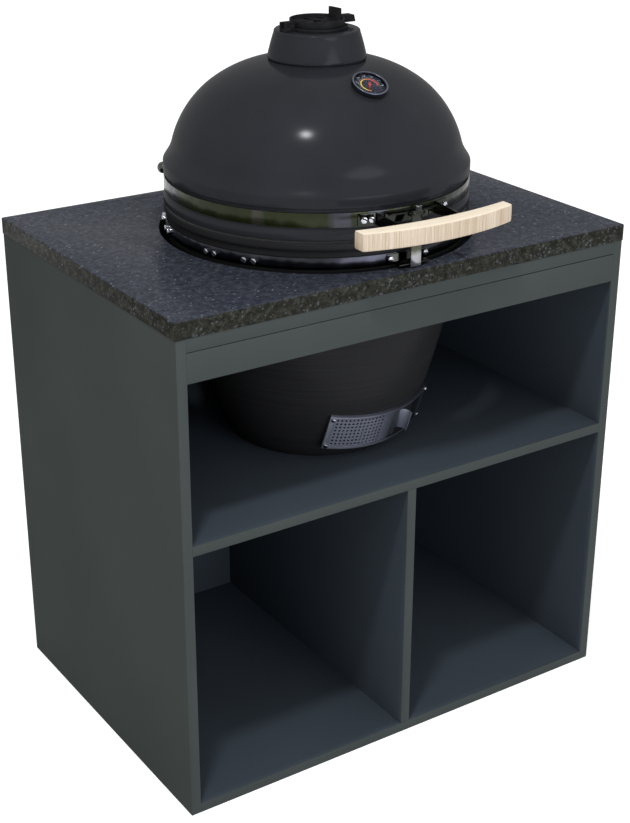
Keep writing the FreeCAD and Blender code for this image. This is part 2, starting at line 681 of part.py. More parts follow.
def make_latch():
    """The angle plate on the lid's band, the strap on its pin and the catch on the bowl's band."""
    flange_low = UPPER_BAND_Z + WEB_LIFT
    flange_high = flange_low + WEB_HEIGHT
    plate_angle = azimuth_of(LATCH_PLATE_HALF, BAND_OUT)
    shelf_low = flange_high - BRACKET_STEEL
    plate = sector(BAND_OUT, BRACKET_OUT, flange_low, flange_high, -plate_angle, plate_angle)
    shelf = sector(BAND_OUT, LATCH_PLATE_REACH, shelf_low, flange_high, -plate_angle, plate_angle)
    plate = plate.fuse(shelf)
    half = LATCH_STRAP_WIDTH / 2
    pin_y = GRILL_Y - LATCH_PLATE_REACH - LATCH_EYE_RADIUS - LATCH_GAP
    pin_z = shelf_low
    ear_x = half + LATCH_SIDE_PLAY
    ear = box(ear_x, ear_x + LATCH_EAR, pin_y - LATCH_EYE_RADIUS, GRILL_Y - LATCH_PLATE_REACH + LATCH_EAR,
              pin_z - LATCH_EYE_RADIUS, flange_high)
    pin_end = Vector(ear_x + LATCH_EAR, pin_y, pin_z)
    pin = rod(Vector(-pin_end.x, pin_y, pin_z), pin_end, LATCH_PIN_RADIUS)
    catch_z = LOWER_BAND_Z + CATCH_LIFT
    sheet = LATCH_STRAP_STEEL / 2
    strap = box(-half, half, pin_y - sheet, pin_y + sheet, catch_z - STRAP_OVERLAP, pin_z)
    eye_end = Vector(half, pin_y, pin_z)
    strap = strap.fuse(rod(Vector(-half, pin_y, pin_z), eye_end, LATCH_EYE_RADIUS)).removeSplitter()
    strap = strap.cut(rod(Vector(-half, pin_y, pin_z), eye_end, LATCH_PIN_RADIUS + RUNNING_CLEARANCE))
    reach = GRILL_Y - pin_y - sheet - LATCH_GAP
    catch_angle = azimuth_of(CATCH_HALF, BAND_OUT)
    lip_angle = azimuth_of(CATCH_LIP_HALF, reach)
    catch_top = LOWER_BAND_Z + LOWER_BAND_HEIGHT - CATCH_EDGE
    catch = sector(BAND_OUT, BRACKET_OUT, catch_z, catch_top, -catch_angle, catch_angle)
    catch = catch.fuse(sector(BAND_OUT, reach, catch_z, catch_z + BRACKET_STEEL, -lip_angle, lip_angle))
    bolt_angle = azimuth_of((CATCH_HALF + CATCH_LIP_HALF) / 2, BAND_OUT)
    catch_middle = LOWER_BAND_Z + LOWER_BAND_HEIGHT / 2 + CATCH_BOLT_LIFT
    catch_bolts = [stud(s * bolt_angle, BRACKET_OUT, catch_middle, SIDE_BOLT_FLATS, SIDE_BOLT_STAND)
                   for s in (-1, 1)]
    return {
        "latch_plate": plate.fuse([ear, mirrored(ear)]).removeSplitter().cut(pin),
        "latch_pin": pin,
        "latch_strap": strap,
        "latch_catch": catch.removeSplitter(),
        "latch_catch_bolts": Part.makeCompound(catch_bolts),
    }


def make_handle_set():
    handle, handle_z = make_handle()
    bracket, middle = make_handle_bracket(handle_z)
    screws = make_handle_screws(middle)
    for screw in screws:
        bracket = bracket.cut(screw)
        handle = handle.cut(screw).cut(mirrored(screw))
    web_low = UPPER_BAND_Z + WEB_LIFT
    band_middle = web_low + WEB_HEIGHT / 2
    bolts = []
    for x, flats in ((OUTER_BOLT_X, BAND_BOLT_FLATS), (INNER_BOLT_X, SIDE_BOLT_FLATS)):
        angle = azimuth_of(x, BRACKET_OUT)
        bolts += [stud(s * angle, BRACKET_OUT, band_middle, flats, BAND_BOLT_HEIGHT) for s in (-1, 1)]
    nut = Vector(PLATE_NUT_X, GRILL_Y - PLATE_NUT_REACH, web_low + WEB_HEIGHT)
    bolts.append(hex_bar(nut, nut + Vector(0, 0, BAND_BOLT_HEIGHT), BAND_BOLT_FLATS))
    return {
        "wood_handle": handle,
        "right_handle_bracket": bracket,
        "left_handle_bracket": mirrored(bracket),
        "handle_screws": Part.makeCompound(screws + [mirrored(s) for s in screws]),
        "handle_bracket_bolts": Part.makeCompound(bolts),
    }


# Thermometer, built face up at the origin and then laid on the dome

def dome_seat():
    """Where the thermometer's axis meets the dome, and the angle between that axis and the vertical."""
    start = Vector(DOME_SHOULDER_RADIUS, 0, LID_Z + DOME_SHOULDER_HEIGHT)
    end = Vector(DOME_CROWN_RADIUS, 0, LID_Z + DOME_CROWN_HEIGHT)
    circle = arc_run(start, end, DOME_CROWN_BULGE).Curve
    out = GAUGE_AT_RADIUS - circle.Center.x
    z = circle.Center.z + math.sqrt(circle.Radius ** 2 - out ** 2)
    return Vector(0, GRILL_Y - GAUGE_AT_RADIUS, z), math.degrees(math.asin(out / circle.Radius))


def laid(shape):
    seat, tilt = dome_seat()
    shape = shape.copy()
    shape.rotate(Vector(0, 0, 0), Vector(1, 0, 0), tilt)
    shape.translate(seat)
    return shape


def disc(radius, z0, z1, bore=0.0):
    solid = Part.makeCylinder(radius, z1 - z0, Vector(0, 0, z0))
    return solid.cut(Part.makeCylinder(bore, z1 - z0, Vector(0, 0, z0))) if bore else solid


def make_gauge(dome):
    inner = GAUGE_RADIUS - GAUGE_WALL
    top = GAUGE_STAND + GAUGE_DEPTH
    dial_z = GAUGE_STAND + GAUGE_FLOOR
    needle_z = dial_z + DIAL + NEEDLE_LIFT
    glass_z = top - BEZEL - GLASS
    seat_z = -GAUGE_SEAT_DEPTH
    section = [
        (0, -STEM_LENGTH),
        (STEM_RADIUS, -STEM_LENGTH),
        (STEM_RADIUS, seat_z),
        (GAUGE_SEAT_RADIUS - GAUGE_SEAT_PLAY, seat_z),
        (GAUGE_SEAT_RADIUS - GAUGE_SEAT_PLAY, GAUGE_STAND),
        (GAUGE_RADIUS, GAUGE_STAND),
        (GAUGE_RADIUS, top),
        (GAUGE_RADIUS - BEZEL_LIP, top),
        (GAUGE_RADIUS - BEZEL_LIP, top - BEZEL),
        (inner, top - BEZEL),
        (inner, dial_z),
        (0, dial_z),
    ]
    case = outline(section).revolve(Vector(0, 0, 0), Vector(0, 0, 1), 2 * HALF_TURN)
    hub = disc(NEEDLE_HUB, needle_z, needle_z + NEEDLE)
    half = NEEDLE_WIDTH / 2
    blade = Part.Face(Part.makePolygon([
        Vector(-half, -NEEDLE_TAIL, needle_z),
        Vector(half, -NEEDLE_TAIL, needle_z),
        Vector(0, NEEDLE_LENGTH, needle_z),
        Vector(-half, -NEEDLE_TAIL, needle_z),
    ])).extrude(Vector(0, 0, NEEDLE))
    post = disc(NEEDLE_HUB / 2, dial_z + DIAL, needle_z)
    needle = hub.fuse([blade, post]).removeSplitter()
    needle.rotate(Vector(0, 0, 0), Vector(0, 0, 1), NEEDLE_REST)
    nut_top = Vector(0, 0, -GAUGE_NUT_DEPTH)
    nut = hex_bar(nut_top - Vector(0, 0, GAUGE_NUT_HEIGHT), nut_top, GAUGE_NUT)
    nut = nut.cut(disc(STEM_RADIUS, -STEM_LENGTH, 0))
    seat = disc(GAUGE_SEAT_RADIUS, seat_z, top).fuse(disc(STEM_RADIUS + STEM_PLAY, -STEM_LENGTH, top))
    return dome.cut(laid(seat)), {
        "thermometer_case": laid(case),
        "thermometer_dial": laid(disc(inner - GLASS_PLAY, dial_z, dial_z + DIAL)),
        "thermometer_needle": laid(needle),
        "thermometer_glass": laid(disc(inner - GLASS_PLAY, glass_z, glass_z + GLASS)),
        "thermometer_nut": laid(nut),
    }


# Chimney top

def slot_sectors(z0, z1):
    half = SLOT_ANGLE / 2
    middles = [SLOT_PITCH * i for i in range(SLOT_COUNT)]
    return [sector(SLOT_INNER, SLOT_OUTER, z0, z1, middle - half, middle + half) for middle in middles]


def make_chimney():
    z0 = NECK_TOP_Z
    z1 = z0 + COLLAR_HEIGHT
    collar = sector(COLLAR_BORE, COLLAR_RADIUS, z0, z1)
    prong_out = CHIMNEY_BORE - PRONG_PLAY
    half = PRONG_WIDTH / 2
    prong_y = GRILL_Y - math.sqrt(prong_out ** 2 - half ** 2)
    prong = box(-half, half, prong_y, prong_y + PRONG_STEEL, z0 - PRONG_DEPTH, z0)
    prongs = [turned(prong, 2 * HALF_TURN / PRONG_COUNT * (i + 0.5)) for i in range(PRONG_COUNT)]
    pin_x = -CAP_HINGE_REACH
    pin_z = z1 + CAP_HEIGHT / 2
    fork_out = CAP_LUG / 2 + CAP_GAP + CAP_FORK
    lug_end = pin_x - CAP_LUG
    lug_root = JOIN - CAP_RADIUS - CAP_GAP - CAP_FORK
    near_y, far_y = GRILL_Y - fork_out, GRILL_Y + fork_out
    ear = box(lug_end, lug_root, far_y - CAP_FORK, far_y, z1, z1 + CAP_HEIGHT - JOIN)
    other = ear.translated(Vector(0, CAP_FORK - 2 * fork_out, 0))
    base = box(lug_end, lug_root, near_y, far_y, z0, z1)
    pin = rod(Vector(pin_x, near_y, pin_z), Vector(pin_x, far_y, pin_z), CAP_HINGE_PIN)
    collar = collar.fuse([ear, other, base] + prongs).removeSplitter().cut(pin)
    return {"chimney_collar": collar, "chimney_hinge_pin": pin} | make_cap(z1 + CAP_GAP, pin_x, pin_z)


def make_cap(z0, pin_x, pin_z):
    z1 = z0 + CAP_HEIGHT
    inner = CAP_RADIUS - CAP_WALL
    floor_top = z0 + CAP_FLOOR
    cup = spin([
        (0, z0),
        (CAP_RADIUS, z0),
        (CAP_RADIUS, z1),
        (inner, z1),
        (inner, floor_top),
        (0, floor_top),
    ])
    grip = CAP_LUG / 2
    lug = box(pin_x, -inner - JOIN, GRILL_Y - grip, GRILL_Y + grip, pin_z - grip, pin_z + grip)
    eye_a = Vector(pin_x, GRILL_Y - grip, pin_z)
    eye_b = Vector(pin_x, GRILL_Y + grip, pin_z)
    eye = rod(eye_a, eye_b, grip)
    half = CAP_LIFT_WIDTH / 2
    lift_points = [
        Vector(inner + JOIN, GRILL_Y - half, z0),
        Vector(CAP_LIFT_REACH + CAP_LIFT_TAPER, GRILL_Y - half, z0),
        Vector(CAP_LIFT_REACH - CAP_LIFT_TAPER, GRILL_Y - half, z1 + CAP_LIFT_RISE),
        Vector(inner + JOIN, GRILL_Y - half, z1 + CAP_LIFT_RISE),
    ]
    lift = Part.Face(Part.makePolygon(lift_points + lift_points[:1])).extrude(Vector(0, CAP_LIFT_WIDTH, 0))
    lift = lift.cut(sector(0, inner, z0, z1 + JOIN))
    cap = cup.fuse([lug, eye, lift]).removeSplitter()
    cap = cap.cut(rod(eye_a, eye_b, CAP_HINGE_PIN + RUNNING_CLEARANCE))
    rivet_top = floor_top + CAP_GAP + DAMPER
    foot = Vector(0, GRILL_Y, z0)
    head = Vector(0, GRILL_Y, rivet_top + CAP_GAP)
    rivet = rod(foot, head, RIVET_RADIUS)
    rivet = rivet.fuse(hex_bar(head, head + Vector(0, 0, RIVET_HEAD), RIVET_FLATS)).removeSplitter()
    cap = cap.cut([rivet] + slot_sectors(z0, floor_top))
    damper_z = floor_top + CAP_GAP
    damper_out = inner - DAMPER_CLEARANCE
    damper = sector(RIVET_RADIUS + RUNNING_CLEARANCE, damper_out, damper_z, damper_z + DAMPER)
    damper = damper.cut([turned(s, DAMPER_REST_ANGLE) for s in slot_sectors(damper_z, damper_z + DAMPER)])
    tab_out = damper_out - JOIN
    tab = box(-TAB_WIDTH / 2, TAB_WIDTH / 2, GRILL_Y - tab_out, GRILL_Y - tab_out + TAB_STEEL,
              damper_z, damper_z + TAB_HEIGHT)
    tab = tab.common(sector(0, damper_out, damper_z, damper_z + TAB_HEIGHT))
    damper = damper.fuse(turned(tab, TAB_AZIMUTH)).removeSplitter()
    return {"chimney_cap": cap, "damper_disc": damper, "damper_rivet": rivet}


# Bottom vent: built upright about the Z axis with its lower edge at zero, and then laid on the bowl

def laid_on_bowl(shape):
    share = (VENT_LIFT - VENT_SEAT_LOW) / (VENT_SEAT_HIGH - VENT_SEAT_LOW)
    surface = VENT_SEAT_LOW_RADIUS + share * (VENT_SEAT_HIGH_RADIUS - VENT_SEAT_LOW_RADIUS)
    copy = shape.copy()
    copy.translate(Vector(0, VENT_SEAT_RADIUS, 0))
    copy.rotate(Vector(0, 0, 0), Vector(1, 0, 0), VENT_TILT)
    copy.translate(Vector(0, GRILL_Y - surface + VENT_SINK, SHELF_TOP + VENT_LIFT))
    return turned(copy, VENT_AZIMUTH)


def rolled(section, low, high):
    """A piece rolled about the vent's axis, from its section's (height, out) corners."""
    return about_z([(VENT_SEAT_RADIUS + out, z) for z, out in section], low, high)


def block_section(low, high, back, front):
    return [(low, back), (high, back), (high, front), (low, front)]


def swung(shape, angle):
    """A copy turned about the vent's axis, before it is laid on the bowl."""
    copy = shape.copy()
    copy.rotate(Vector(0, 0, 0), Vector(0, 0, 1), angle)
    return copy


def make_vent_frame():
    end = VENT_HALF_ANGLE
    lip = VENT_FRONT - VENT_SHEET
    rail = [
        (0, VENT_BACK),
        (VENT_RAIL, VENT_BACK),
        (VENT_RAIL, lip),
        (VENT_LIP, lip),
        (VENT_LIP, VENT_FRONT),
        (0, VENT_FRONT),
    ]
    upper = [(VENT_HEIGHT - z, out) for z, out in rail]
    block = block_section(0, VENT_HEIGHT, VENT_BACK, VENT_FRONT)
    pieces = [rolled(section, -end, end) for section in (rail, upper)]
    pieces += [rolled(block, -end, VENT_END_ANGLE - end), rolled(block, end - VENT_END_ANGLE, end)]
    return pieces[0].fuse(pieces[1:]).removeSplitter()


def make_vent_bolts():
    face = VENT_SEAT_RADIUS + VENT_FRONT
    bolts = []
    for z in (VENT_BOLT_INSET, VENT_HEIGHT - VENT_BOLT_INSET):
        middle = Vector(0, -face, z)
        top = Vector(0, -face - VENT_BOLT_HEIGHT, z)
        deep = Vector(0, VENT_SHANK_DEPTH - VENT_SEAT_RADIUS, z)
        bolt = hex_bar(middle, top, VENT_BOLT).fuse(hex_bar(deep, middle, VENT_SHANK)).removeSplitter()
        bolts += [swung(bolt, s * (VENT_HALF_ANGLE - VENT_END_ANGLE / 2)) for s in (-1, 1)]
    return bolts


def make_vent(bowl):
    seat = block_section(-VENT_PLAY, VENT_HEIGHT + VENT_PLAY, 0, VENT_FRONT + VENT_HEIGHT)
    play = math.degrees(VENT_PLAY / VENT_SEAT_RADIUS)
    bolts = make_vent_bolts()
    cuts = [rolled(seat, -VENT_HALF_ANGLE - play, VENT_HALF_ANGLE + play)] + bolts
    low = VENT_RAIL + SHEET_PLAY
    high = VENT_HEIGHT - low
    door = rolled(block_section(low, high, DOOR_OUT, DOOR_OUT + VENT_SHEET), DOOR_FROM, DOOR_TO)
    screen = folded(block_section(low, high, SCREEN_OUT, SCREEN_OUT + VENT_SHEET))
    return bowl.cut([laid_on_bowl(cut) for cut in cuts]), {
        "vent_frame": laid_on_bowl(make_vent_frame().cut(bolts)),
        "vent_bolts": laid_on_bowl(Part.makeCompound(bolts)),
        "vent_door": laid_on_bowl(door.fuse(make_curl()).removeSplitter()),
        "vent_screen": laid_on_bowl(screen.cut(vent_holes())),
    }


def folded(section):
    """The screen's sheet, with a flat to each column of holes and a few plain ones beside them."""
    rings = []
    for i in range(HOLE_COLUMNS + PLAIN_FLATS + 1):
        angle = SCREEN_FROM + HOLE_STEP_ANGLE * i
        rings.append([swung_point(VENT_SEAT_RADIUS + out, z, angle) for z, out in section])
    return skinned(rings)


def swung_point(radius, z, angle):
    turn = math.radians(angle)
    return Vector(radius * math.sin(turn), -radius * math.cos(turn), z)


def skinned(rings):
    """A solid with flat sides through rings of corners, closed by the first and the last."""
    loops = [rings[0], rings[-1]]
    for near, far in zip(rings, rings[1:]):
        loops += [[near[j - 1], near[j], far[j], far[j - 1]] for j in range(len(near))]
    solid = Part.Solid(Part.Shell([Part.Face(Part.makePolygon(loop + loop[:1])) for loop in loops]))
    return solid.reversed() if solid.Volume < 0 else solid


def make_curl():
    """The tab at the door's right end: its sheet bent outwards in a round curl."""
    back = -VENT_SEAT_RADIUS - DOOR_OUT
    front = back - VENT_SHEET
    z0, z1 = CURL_LOW, CURL_LOW + CURL_HEIGHT
    corners = [Vector(0, back, z0), Vector(0, front, z0), Vector(0, front, z1), Vector(0, back, z1)]
    face = Part.Face(Part.makePolygon(corners + corners[:1]))
    return swung(face.revolve(Vector(0, front - CURL_RADIUS, 0), Vector(0, 0, -1), CURL_ANGLE), DOOR_TO)


def vent_holes():
    """Square bars, one row up the screen for each row of holes and one column to a flat."""
    half = HOLE_SIZE / 2
    near = -VENT_SEAT_RADIUS - SCREEN_OUT + JOIN
    far = near - VENT_SHEET - 2 * JOIN
    bars = []
    for row in range(HOLE_ROWS):
        z = VENT_HEIGHT / 2 + HOLE_PITCH * (row - (HOLE_ROWS - 1) / 2)
        bar = box(-half, half, far, near, z - half, z + half)
        for column in range(HOLE_COLUMNS):
            bars.append(swung(bar, SCREEN_FROM + HOLE_STEP_ANGLE * (column + 0.5)))
    return bars


# Inside the bowl

def sided(low_radius, low_z, high_radius, high_z):
    """A many-sided block between two levels, from its corners' radii, with a side towards the vent."""
    angles = [VENT_AZIMUTH + 2 * HALF_TURN * (i + 0.5) / FIRE_SIDES for i in range(FIRE_SIDES)]
    solid = skinned([
        [swung_point(radius, z, angle) for angle in angles]
        for radius, z in ((low_radius, low_z), (high_radius, high_z))
    ])
    solid.translate(Vector(0, GRILL_Y, 0))
    return solid


def make_fire_box():
    z0 = SHELF_TOP + BOWL_FLOOR
    z1 = z0 + FIRE_BOX_HEIGHT
    ash_top = z0 + ASH_SPACE
    seat = GRATE_RADIUS + GRATE_PLAY
    shell = sided(FIRE_BOX_FOOT, z0, FIRE_BOX_TOP, z1).cut([
        sided(ASH_SPACE_RADIUS, z0, ASH_SPACE_RADIUS, ash_top),
        sided(GRATE_LEDGE_RADIUS, ash_top, GRATE_LEDGE_RADIUS, GRATE_Z),
        sided(seat, GRATE_Z, FIRE_BOX_TOP - FIRE_BOX_WALL, z1),
    ])
    half = ASH_DOOR_ANGLE / 2
    door = sector(GRATE_LEDGE_RADIUS, LIP_RADIUS, z0, ash_top, VENT_AZIMUTH - half, VENT_AZIMUTH + half)
    return shell.cut(door)


def make_charcoal_grate():
    grate = sided(GRATE_RADIUS, GRATE_Z, GRATE_RADIUS, GRATE_Z + GRATE_THICKNESS)
    reach = GRATE_RADIUS - GRATE_RIM
    return grate.cut(slots(GRATE_SLOTS, GRATE_PITCH, GRATE_SLOT_WIDTH, reach, GRATE_Z, GRATE_THICKNESS))


def slots(count, pitch, width, reach, z, thickness):
    """Parallel slots from front to back that end inside a circle."""
    cuts = []
    for i in range(count):
        x = (i - (count - 1) / 2) * pitch
        half = math.sqrt(reach ** 2 - (abs(x) + width / 2) ** 2)
        cuts.append(box(x - width / 2, x + width / 2, GRILL_Y - half, GRILL_Y + half, z, z + thickness))
    return cuts


def make_fire_ring():
    wall = FIRE_BOX_WALL
    outside = sided(FIRE_BOX_TOP, FIRE_RING_Z, FIRE_RING_TOP, GRID_Z)
    return outside.cut(sided(FIRE_BOX_TOP - wall, FIRE_RING_Z, FIRE_RING_TOP - wall, GRID_Z))


def make_cooking_grid():
    plate = sector(0, GRID_RADIUS, GRID_Z, GRID_Z + GRID_THICKNESS)
    reach = GRID_RADIUS - GRID_RIM
    return plate.cut(slots(GRID_SLOTS, GRID_PITCH, GRID_SLOT_WIDTH, reach, GRID_Z, GRID_THICKNESS))


def main():
    os.makedirs("parts", exist_ok=True)
    nodes = make_cabinet()
    bowl, vent = make_vent(make_bowl())
    dome, gauge = make_gauge(make_dome())
    nodes["base_bowl"] = bowl
    nodes["lid_dome"] = dome
    nodes["rim_gasket"] = make_gasket()
    nodes["lower_band"], nodes["lower_clamp_bolt"] = make_band(LOWER_BAND_Z, LOWER_BAND_HEIGHT)
    nodes["upper_band"], nodes["upper_clamp_bolt"] = make_band(UPPER_BAND_Z, UPPER_BAND_HEIGHT)
    nodes["side_shelf_bolts"] = make_side_bolts()
    nodes["fire_box"] = make_fire_box()
    nodes["charcoal_grate"] = make_charcoal_grate()
    nodes["fire_ring"] = make_fire_ring()
    nodes["cooking_grid"] = make_cooking_grid()
    for group in (vent, gauge, make_hinge(), make_handle_set(), make_latch(), make_chimney()):
        nodes.update(group)
    for name, shape in nodes.items():
        shape.exportStep(f"parts/{name}.step")


main()
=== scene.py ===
import bmesh
import bpy
import math
from mathutils import Matrix, Vector


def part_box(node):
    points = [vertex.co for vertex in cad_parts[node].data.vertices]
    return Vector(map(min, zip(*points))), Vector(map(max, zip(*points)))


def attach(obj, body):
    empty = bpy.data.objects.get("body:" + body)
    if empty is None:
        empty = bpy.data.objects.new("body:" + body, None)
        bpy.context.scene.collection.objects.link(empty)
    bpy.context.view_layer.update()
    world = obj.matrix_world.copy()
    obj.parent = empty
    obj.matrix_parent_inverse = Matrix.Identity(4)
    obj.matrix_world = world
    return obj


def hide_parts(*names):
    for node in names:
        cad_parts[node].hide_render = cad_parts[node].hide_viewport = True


# Looks of the kamado grill table, in metres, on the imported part
# Frame: origin at the centre of the cabinet's footprint on the floor, +Z up, front towards -Y

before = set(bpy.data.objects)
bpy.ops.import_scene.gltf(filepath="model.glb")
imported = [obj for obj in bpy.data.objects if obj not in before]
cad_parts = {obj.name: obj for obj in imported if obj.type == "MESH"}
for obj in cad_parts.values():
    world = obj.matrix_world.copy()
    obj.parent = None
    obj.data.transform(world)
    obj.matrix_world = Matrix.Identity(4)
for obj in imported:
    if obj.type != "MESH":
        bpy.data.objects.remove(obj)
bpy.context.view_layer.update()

# Grill: sizes as in the solids; a pair is a radius and a height above the shelf or above the lid's mouth
GRILL_Y = -0.016
SHELF_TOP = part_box("middle_shelf")[1].z
BOWL_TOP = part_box("base_bowl")[1].z
LID_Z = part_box("lid_dome")[0].z
NECK_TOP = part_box("lid_dome")[1].z
LIP_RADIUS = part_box("lid_dome")[1].x
FOOT_RADIUS = 0.1553
FOOT_ROUND = 0.005
VENT_SEAT = ((0.1684, 0.017), (0.1996, 0.095))
BOWL_SHOULDER = (0.2590, 0.365)
BOWL_BULGE = 0.0053
SEAT_RADIUS = 0.2620
MOUTH_RADIUS = 0.2400
BOWL_LIP = 0.0112
LIP_CHAMFER = 0.0047
BOWL_SEAT = 0.0320
BOWL_FLOOR = 0.026
BOWL_WALL = 0.024
MOUTH_RISE = 0.03
LID_LIP = 0.0105
LID_CHAMFER = 0.0084
RIM_RADIUS = 0.2653
RIM_LOW = 0.0517
RIM_HIGH = 0.0697
DOME_BASE = (0.2485, 0.1035)
FLARE_BULGE = -0.0016
DOME_SHOULDER = (0.1894, 0.1931)
DOME_SIDE_BULGE = 0.0082
DOME_CROWN = (0.0840, 0.2375)
DOME_CROWN_BULGE = 0.0077
DOME_WALL = 0.022
DOME_SHOULDER_INSET = 0.0165
CHIMNEY_BORE = 0.046

# Bowl and dome: forms finer than the solids have; a pair is a step out or in, and a step up
FOOT_FLARE = (0.002, 0.0035)
FOOT_BULGE = 0.0012
RIM_SLOPE = (0.004, 0.006)
CORNER_EASE = 0.0015

# Chimney neck: the groove at its foot, its slightly bowed wall and its rounded top
NECK_CREASE = 0.0028
CREASE_HEIGHTS = (0.0004, 0.0018)
NECK_FOOT = (0.0002, 0.0045)
NECK_BULGE = 0.0006
NECK_TOP_RADIUS = 0.0697
NECK_ROUND = 0.0046
NECK_ROUND_OUT = 0.00322
NECK_ROUND_BULGE = 0.0012

# Bottom vent: its window, and the place of the axis that its sheets are rolled about
VENT_AZIMUTH = math.radians(7.0)
VENT_TILT = math.radians(20.0)
VENT_LIFT = 0.0224
VENT_SINK = 0.0005
VENT_SEAT_RADIUS = 0.202
VENT_HEIGHT = 0.072
VENT_HALF_ANGLE = 32.5
VENT_PLAY = 0.0008
VENT_SHEET = 0.0012
VENT_INNER_EDGE = 0.0022
SCREEN_OUT = 0.006
SCREEN_FROM = -29.3
HOLE_ROWS = 8
HOLE_COLUMNS = 13
PLAIN_FLATS = 3
HOLE_PITCH = 0.0076
HOLE_STEP_ANGLE = 2.05
HOLE_RADIUS = 0.0022
HOLE_SPOKES = 12
WINDOW_HALF_ANGLE = math.radians(10.0)
WINDOW_HEIGHTS = (0.038, 0.076)
WINDOW_RADII = (0.13, 0.25)

# Thermometer
GAUGE_SEAT = Vector((0, -0.168, 1.16355))
GAUGE_TILT = math.radians(26.433)
GAUGE_RADIUS = 0.0302
GAUGE_TOP = 0.0082
DIAL_TOP = 0.0037

# Bezel: corners of its section, out from the case's radius and up from its top
BEZEL_SECTION = ((-0.0026, -0.0012), (-0.0026, 0.0001), (-0.0012, 0.0006), (0.0002, 0.0001),
                 (0.0002, -0.0030), (-0.0020, -0.0030))
BEZEL_EASE = 0.0005
BEZEL_STEPS = 72

# Print on the dial: directions in degrees clockwise from straight down
SCALE_START = 20.0
SCALE_END = 285.0
PRINT_LIFT = 0.0001
ARC_RADII = (0.0135, 0.0158)
ARC_STEPS = 60
MARKS = 27
MARKS_TO_A_LONG_ONE = 3
MARK_HALF_WIDTH = 0.9
MARK_RADII = (0.0172, 0.0184)
LONG_MARK_RADIUS = 0.0196
NUMBERS = 9
NUMBER_STEP = 50
NUMBER_RADIUS = 0.0225
NUMBER_SIZE = 0.0035
UNIT_BELOW = 0.0205
UNIT_SIZE = 0.0045

# Dome nuts on the hinge pin: heights and shares of the radius along their foot
NUT_LENGTH = 0.0157
NUT_FLANGE = 0.0012
NUT_EDGE = (0.0008, 0.0022, 0.0030)
NUT_FACE_SHARE = 0.92
NUT_CREST_SHARE = 0.96
NUT_BULGE = 0.0046
NUT_STEPS = 40

# Handle
HANDLE_HALF = 0.1472
HANDLE_OUTER_ARC = 0.4817
HANDLE_INNER_ARC = 0.6984
HANDLE_REACH = -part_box("wood_handle")[0].y
HANDLE_THICKNESS = 0.0316
HANDLE_ROUND = 0.0032
HANDLE_END_TRIM = 0.00144
HANDLE_STOPS = 48
HANDLE_CORNER_STEPS = 4
HANDLE_SMOOTH_ANGLE = 50.0

# Cabinet: how far behind its outer faces the painted cool light of the bays starts
PAINTED_BAY_LIGHT_STEP = 0.001

# Meshes: steps round a turned form, angles in degrees, and distances that count as nothing
TURN_STEPS = 160
SMOOTH_ANGLE = 38.0
SHEET_SMOOTH_ANGLE = 25.0
EASED_ANGLE = 30.0
AXIS_RADIUS = 1e-5
WELD = 1e-5
TINY = 1e-6

# Rounded corners: the angle past which one is left alone, and the most of a side that one takes up
NEAR_STRAIGHT = math.radians(165)
CORNER_SHARE = 0.45

# Camera, measured from the photograph: its place, direction and focal length in picture heights
CAMERA_AT = Vector((-1.4710, -2.2210, 1.7108))
CAMERA_AZIMUTH = math.radians(-33.68)
CAMERA_ELEVATION = math.radians(23.97)
CAMERA_ROLL = math.radians(0.19)
PICTURE_HEIGHTS_FOCAL = 1563.2 / 823
SENSOR = 36.0

# Stage: the world's strength, and the floor's glow and half its side
WORLD_LIGHT = 0.68
FLOOR_GLOW = 0.5
FLOOR_REACH = 30.0

# Tones of sheet steel: pale where it stands in the open, and a deep painted shade where the shelf shades it
PALE_SHEET = (0.215, 0.232, 0.290)
PAINTED_SHADE_SHEET = (0.045, 0.049, 0.063)


# Mesh helpers

def arc(start, end, bulge, steps):
    """Points after start, up to and with end, on an arc that stands out by bulge to the right of the run."""
    a = Vector(start)
    b = Vector(end)
    run = b - a
    side = Vector((run.y, -run.x)).normalized()
    radius = (run.length_squared / 4 + bulge * bulge) / (2 * abs(bulge))
    centre = (a + b) / 2 + side * (bulge - math.copysign(radius, bulge))
    first = a - centre
    turn = first.angle_signed(b - centre)
    spots = []
    for i in range(1, steps + 1):
        angle = turn * i / steps
        c = math.cos(angle)
        s = -math.sin(angle)
        spots.append((centre.x + first.x * c - first.y * s, centre.y + first.x * s + first.y * c))
    return spots


def eased(points, radius, steps=3, closed=True):
    """The outline with each corner rounded off."""
    out = []
    count = len(points)
    for i, point in enumerate(points):
        p = Vector(point)
        if not closed and i in (0, count - 1):
            out.append(tuple(p))
            continue
        before = Vector(points[i - 1]) - p
        after = Vector(points[(i + 1) % count]) - p
        reach = min(radius, before.length * CORNER_SHARE, after.length * CORNER_SHARE)
        if before.angle(after) > NEAR_STRAIGHT or reach < TINY:
            out.append(tuple(p))
            continue
        a = p + before.normalized() * reach
        b = p + after.normalized() * reach
        for k in range(steps + 1):
            t = k / steps
            out.append(tuple(a * (1 - t) ** 2 + p * 2 * t * (1 - t) + b * t * t))
    return out


def object_from(bm, name, body, material, smooth_angle=SMOOTH_ANGLE):
    """Makes an object of the mesh that rides on a body."""
    bmesh.ops.recalc_face_normals(bm, faces=bm.faces)
    mesh = bpy.data.meshes.new(name)
    bm.to_mesh(mesh)
    bm.free()
    mesh.shade_smooth()
    mesh.set_sharp_from_angle(angle=math.radians(smooth_angle))
    mesh.materials.append(material)
    piece = bpy.data.objects.new(name, mesh)
    bpy.context.scene.collection.objects.link(piece)
    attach(piece, body)
    return piece


def joined(bm, ring, after):
    """Four-cornered faces between two closed rings with as many points each."""
    for j in range(len(ring)):
        k = (j + 1) % len(ring)
        bm.faces.new((ring[j], after[j], after[k], ring[k]))


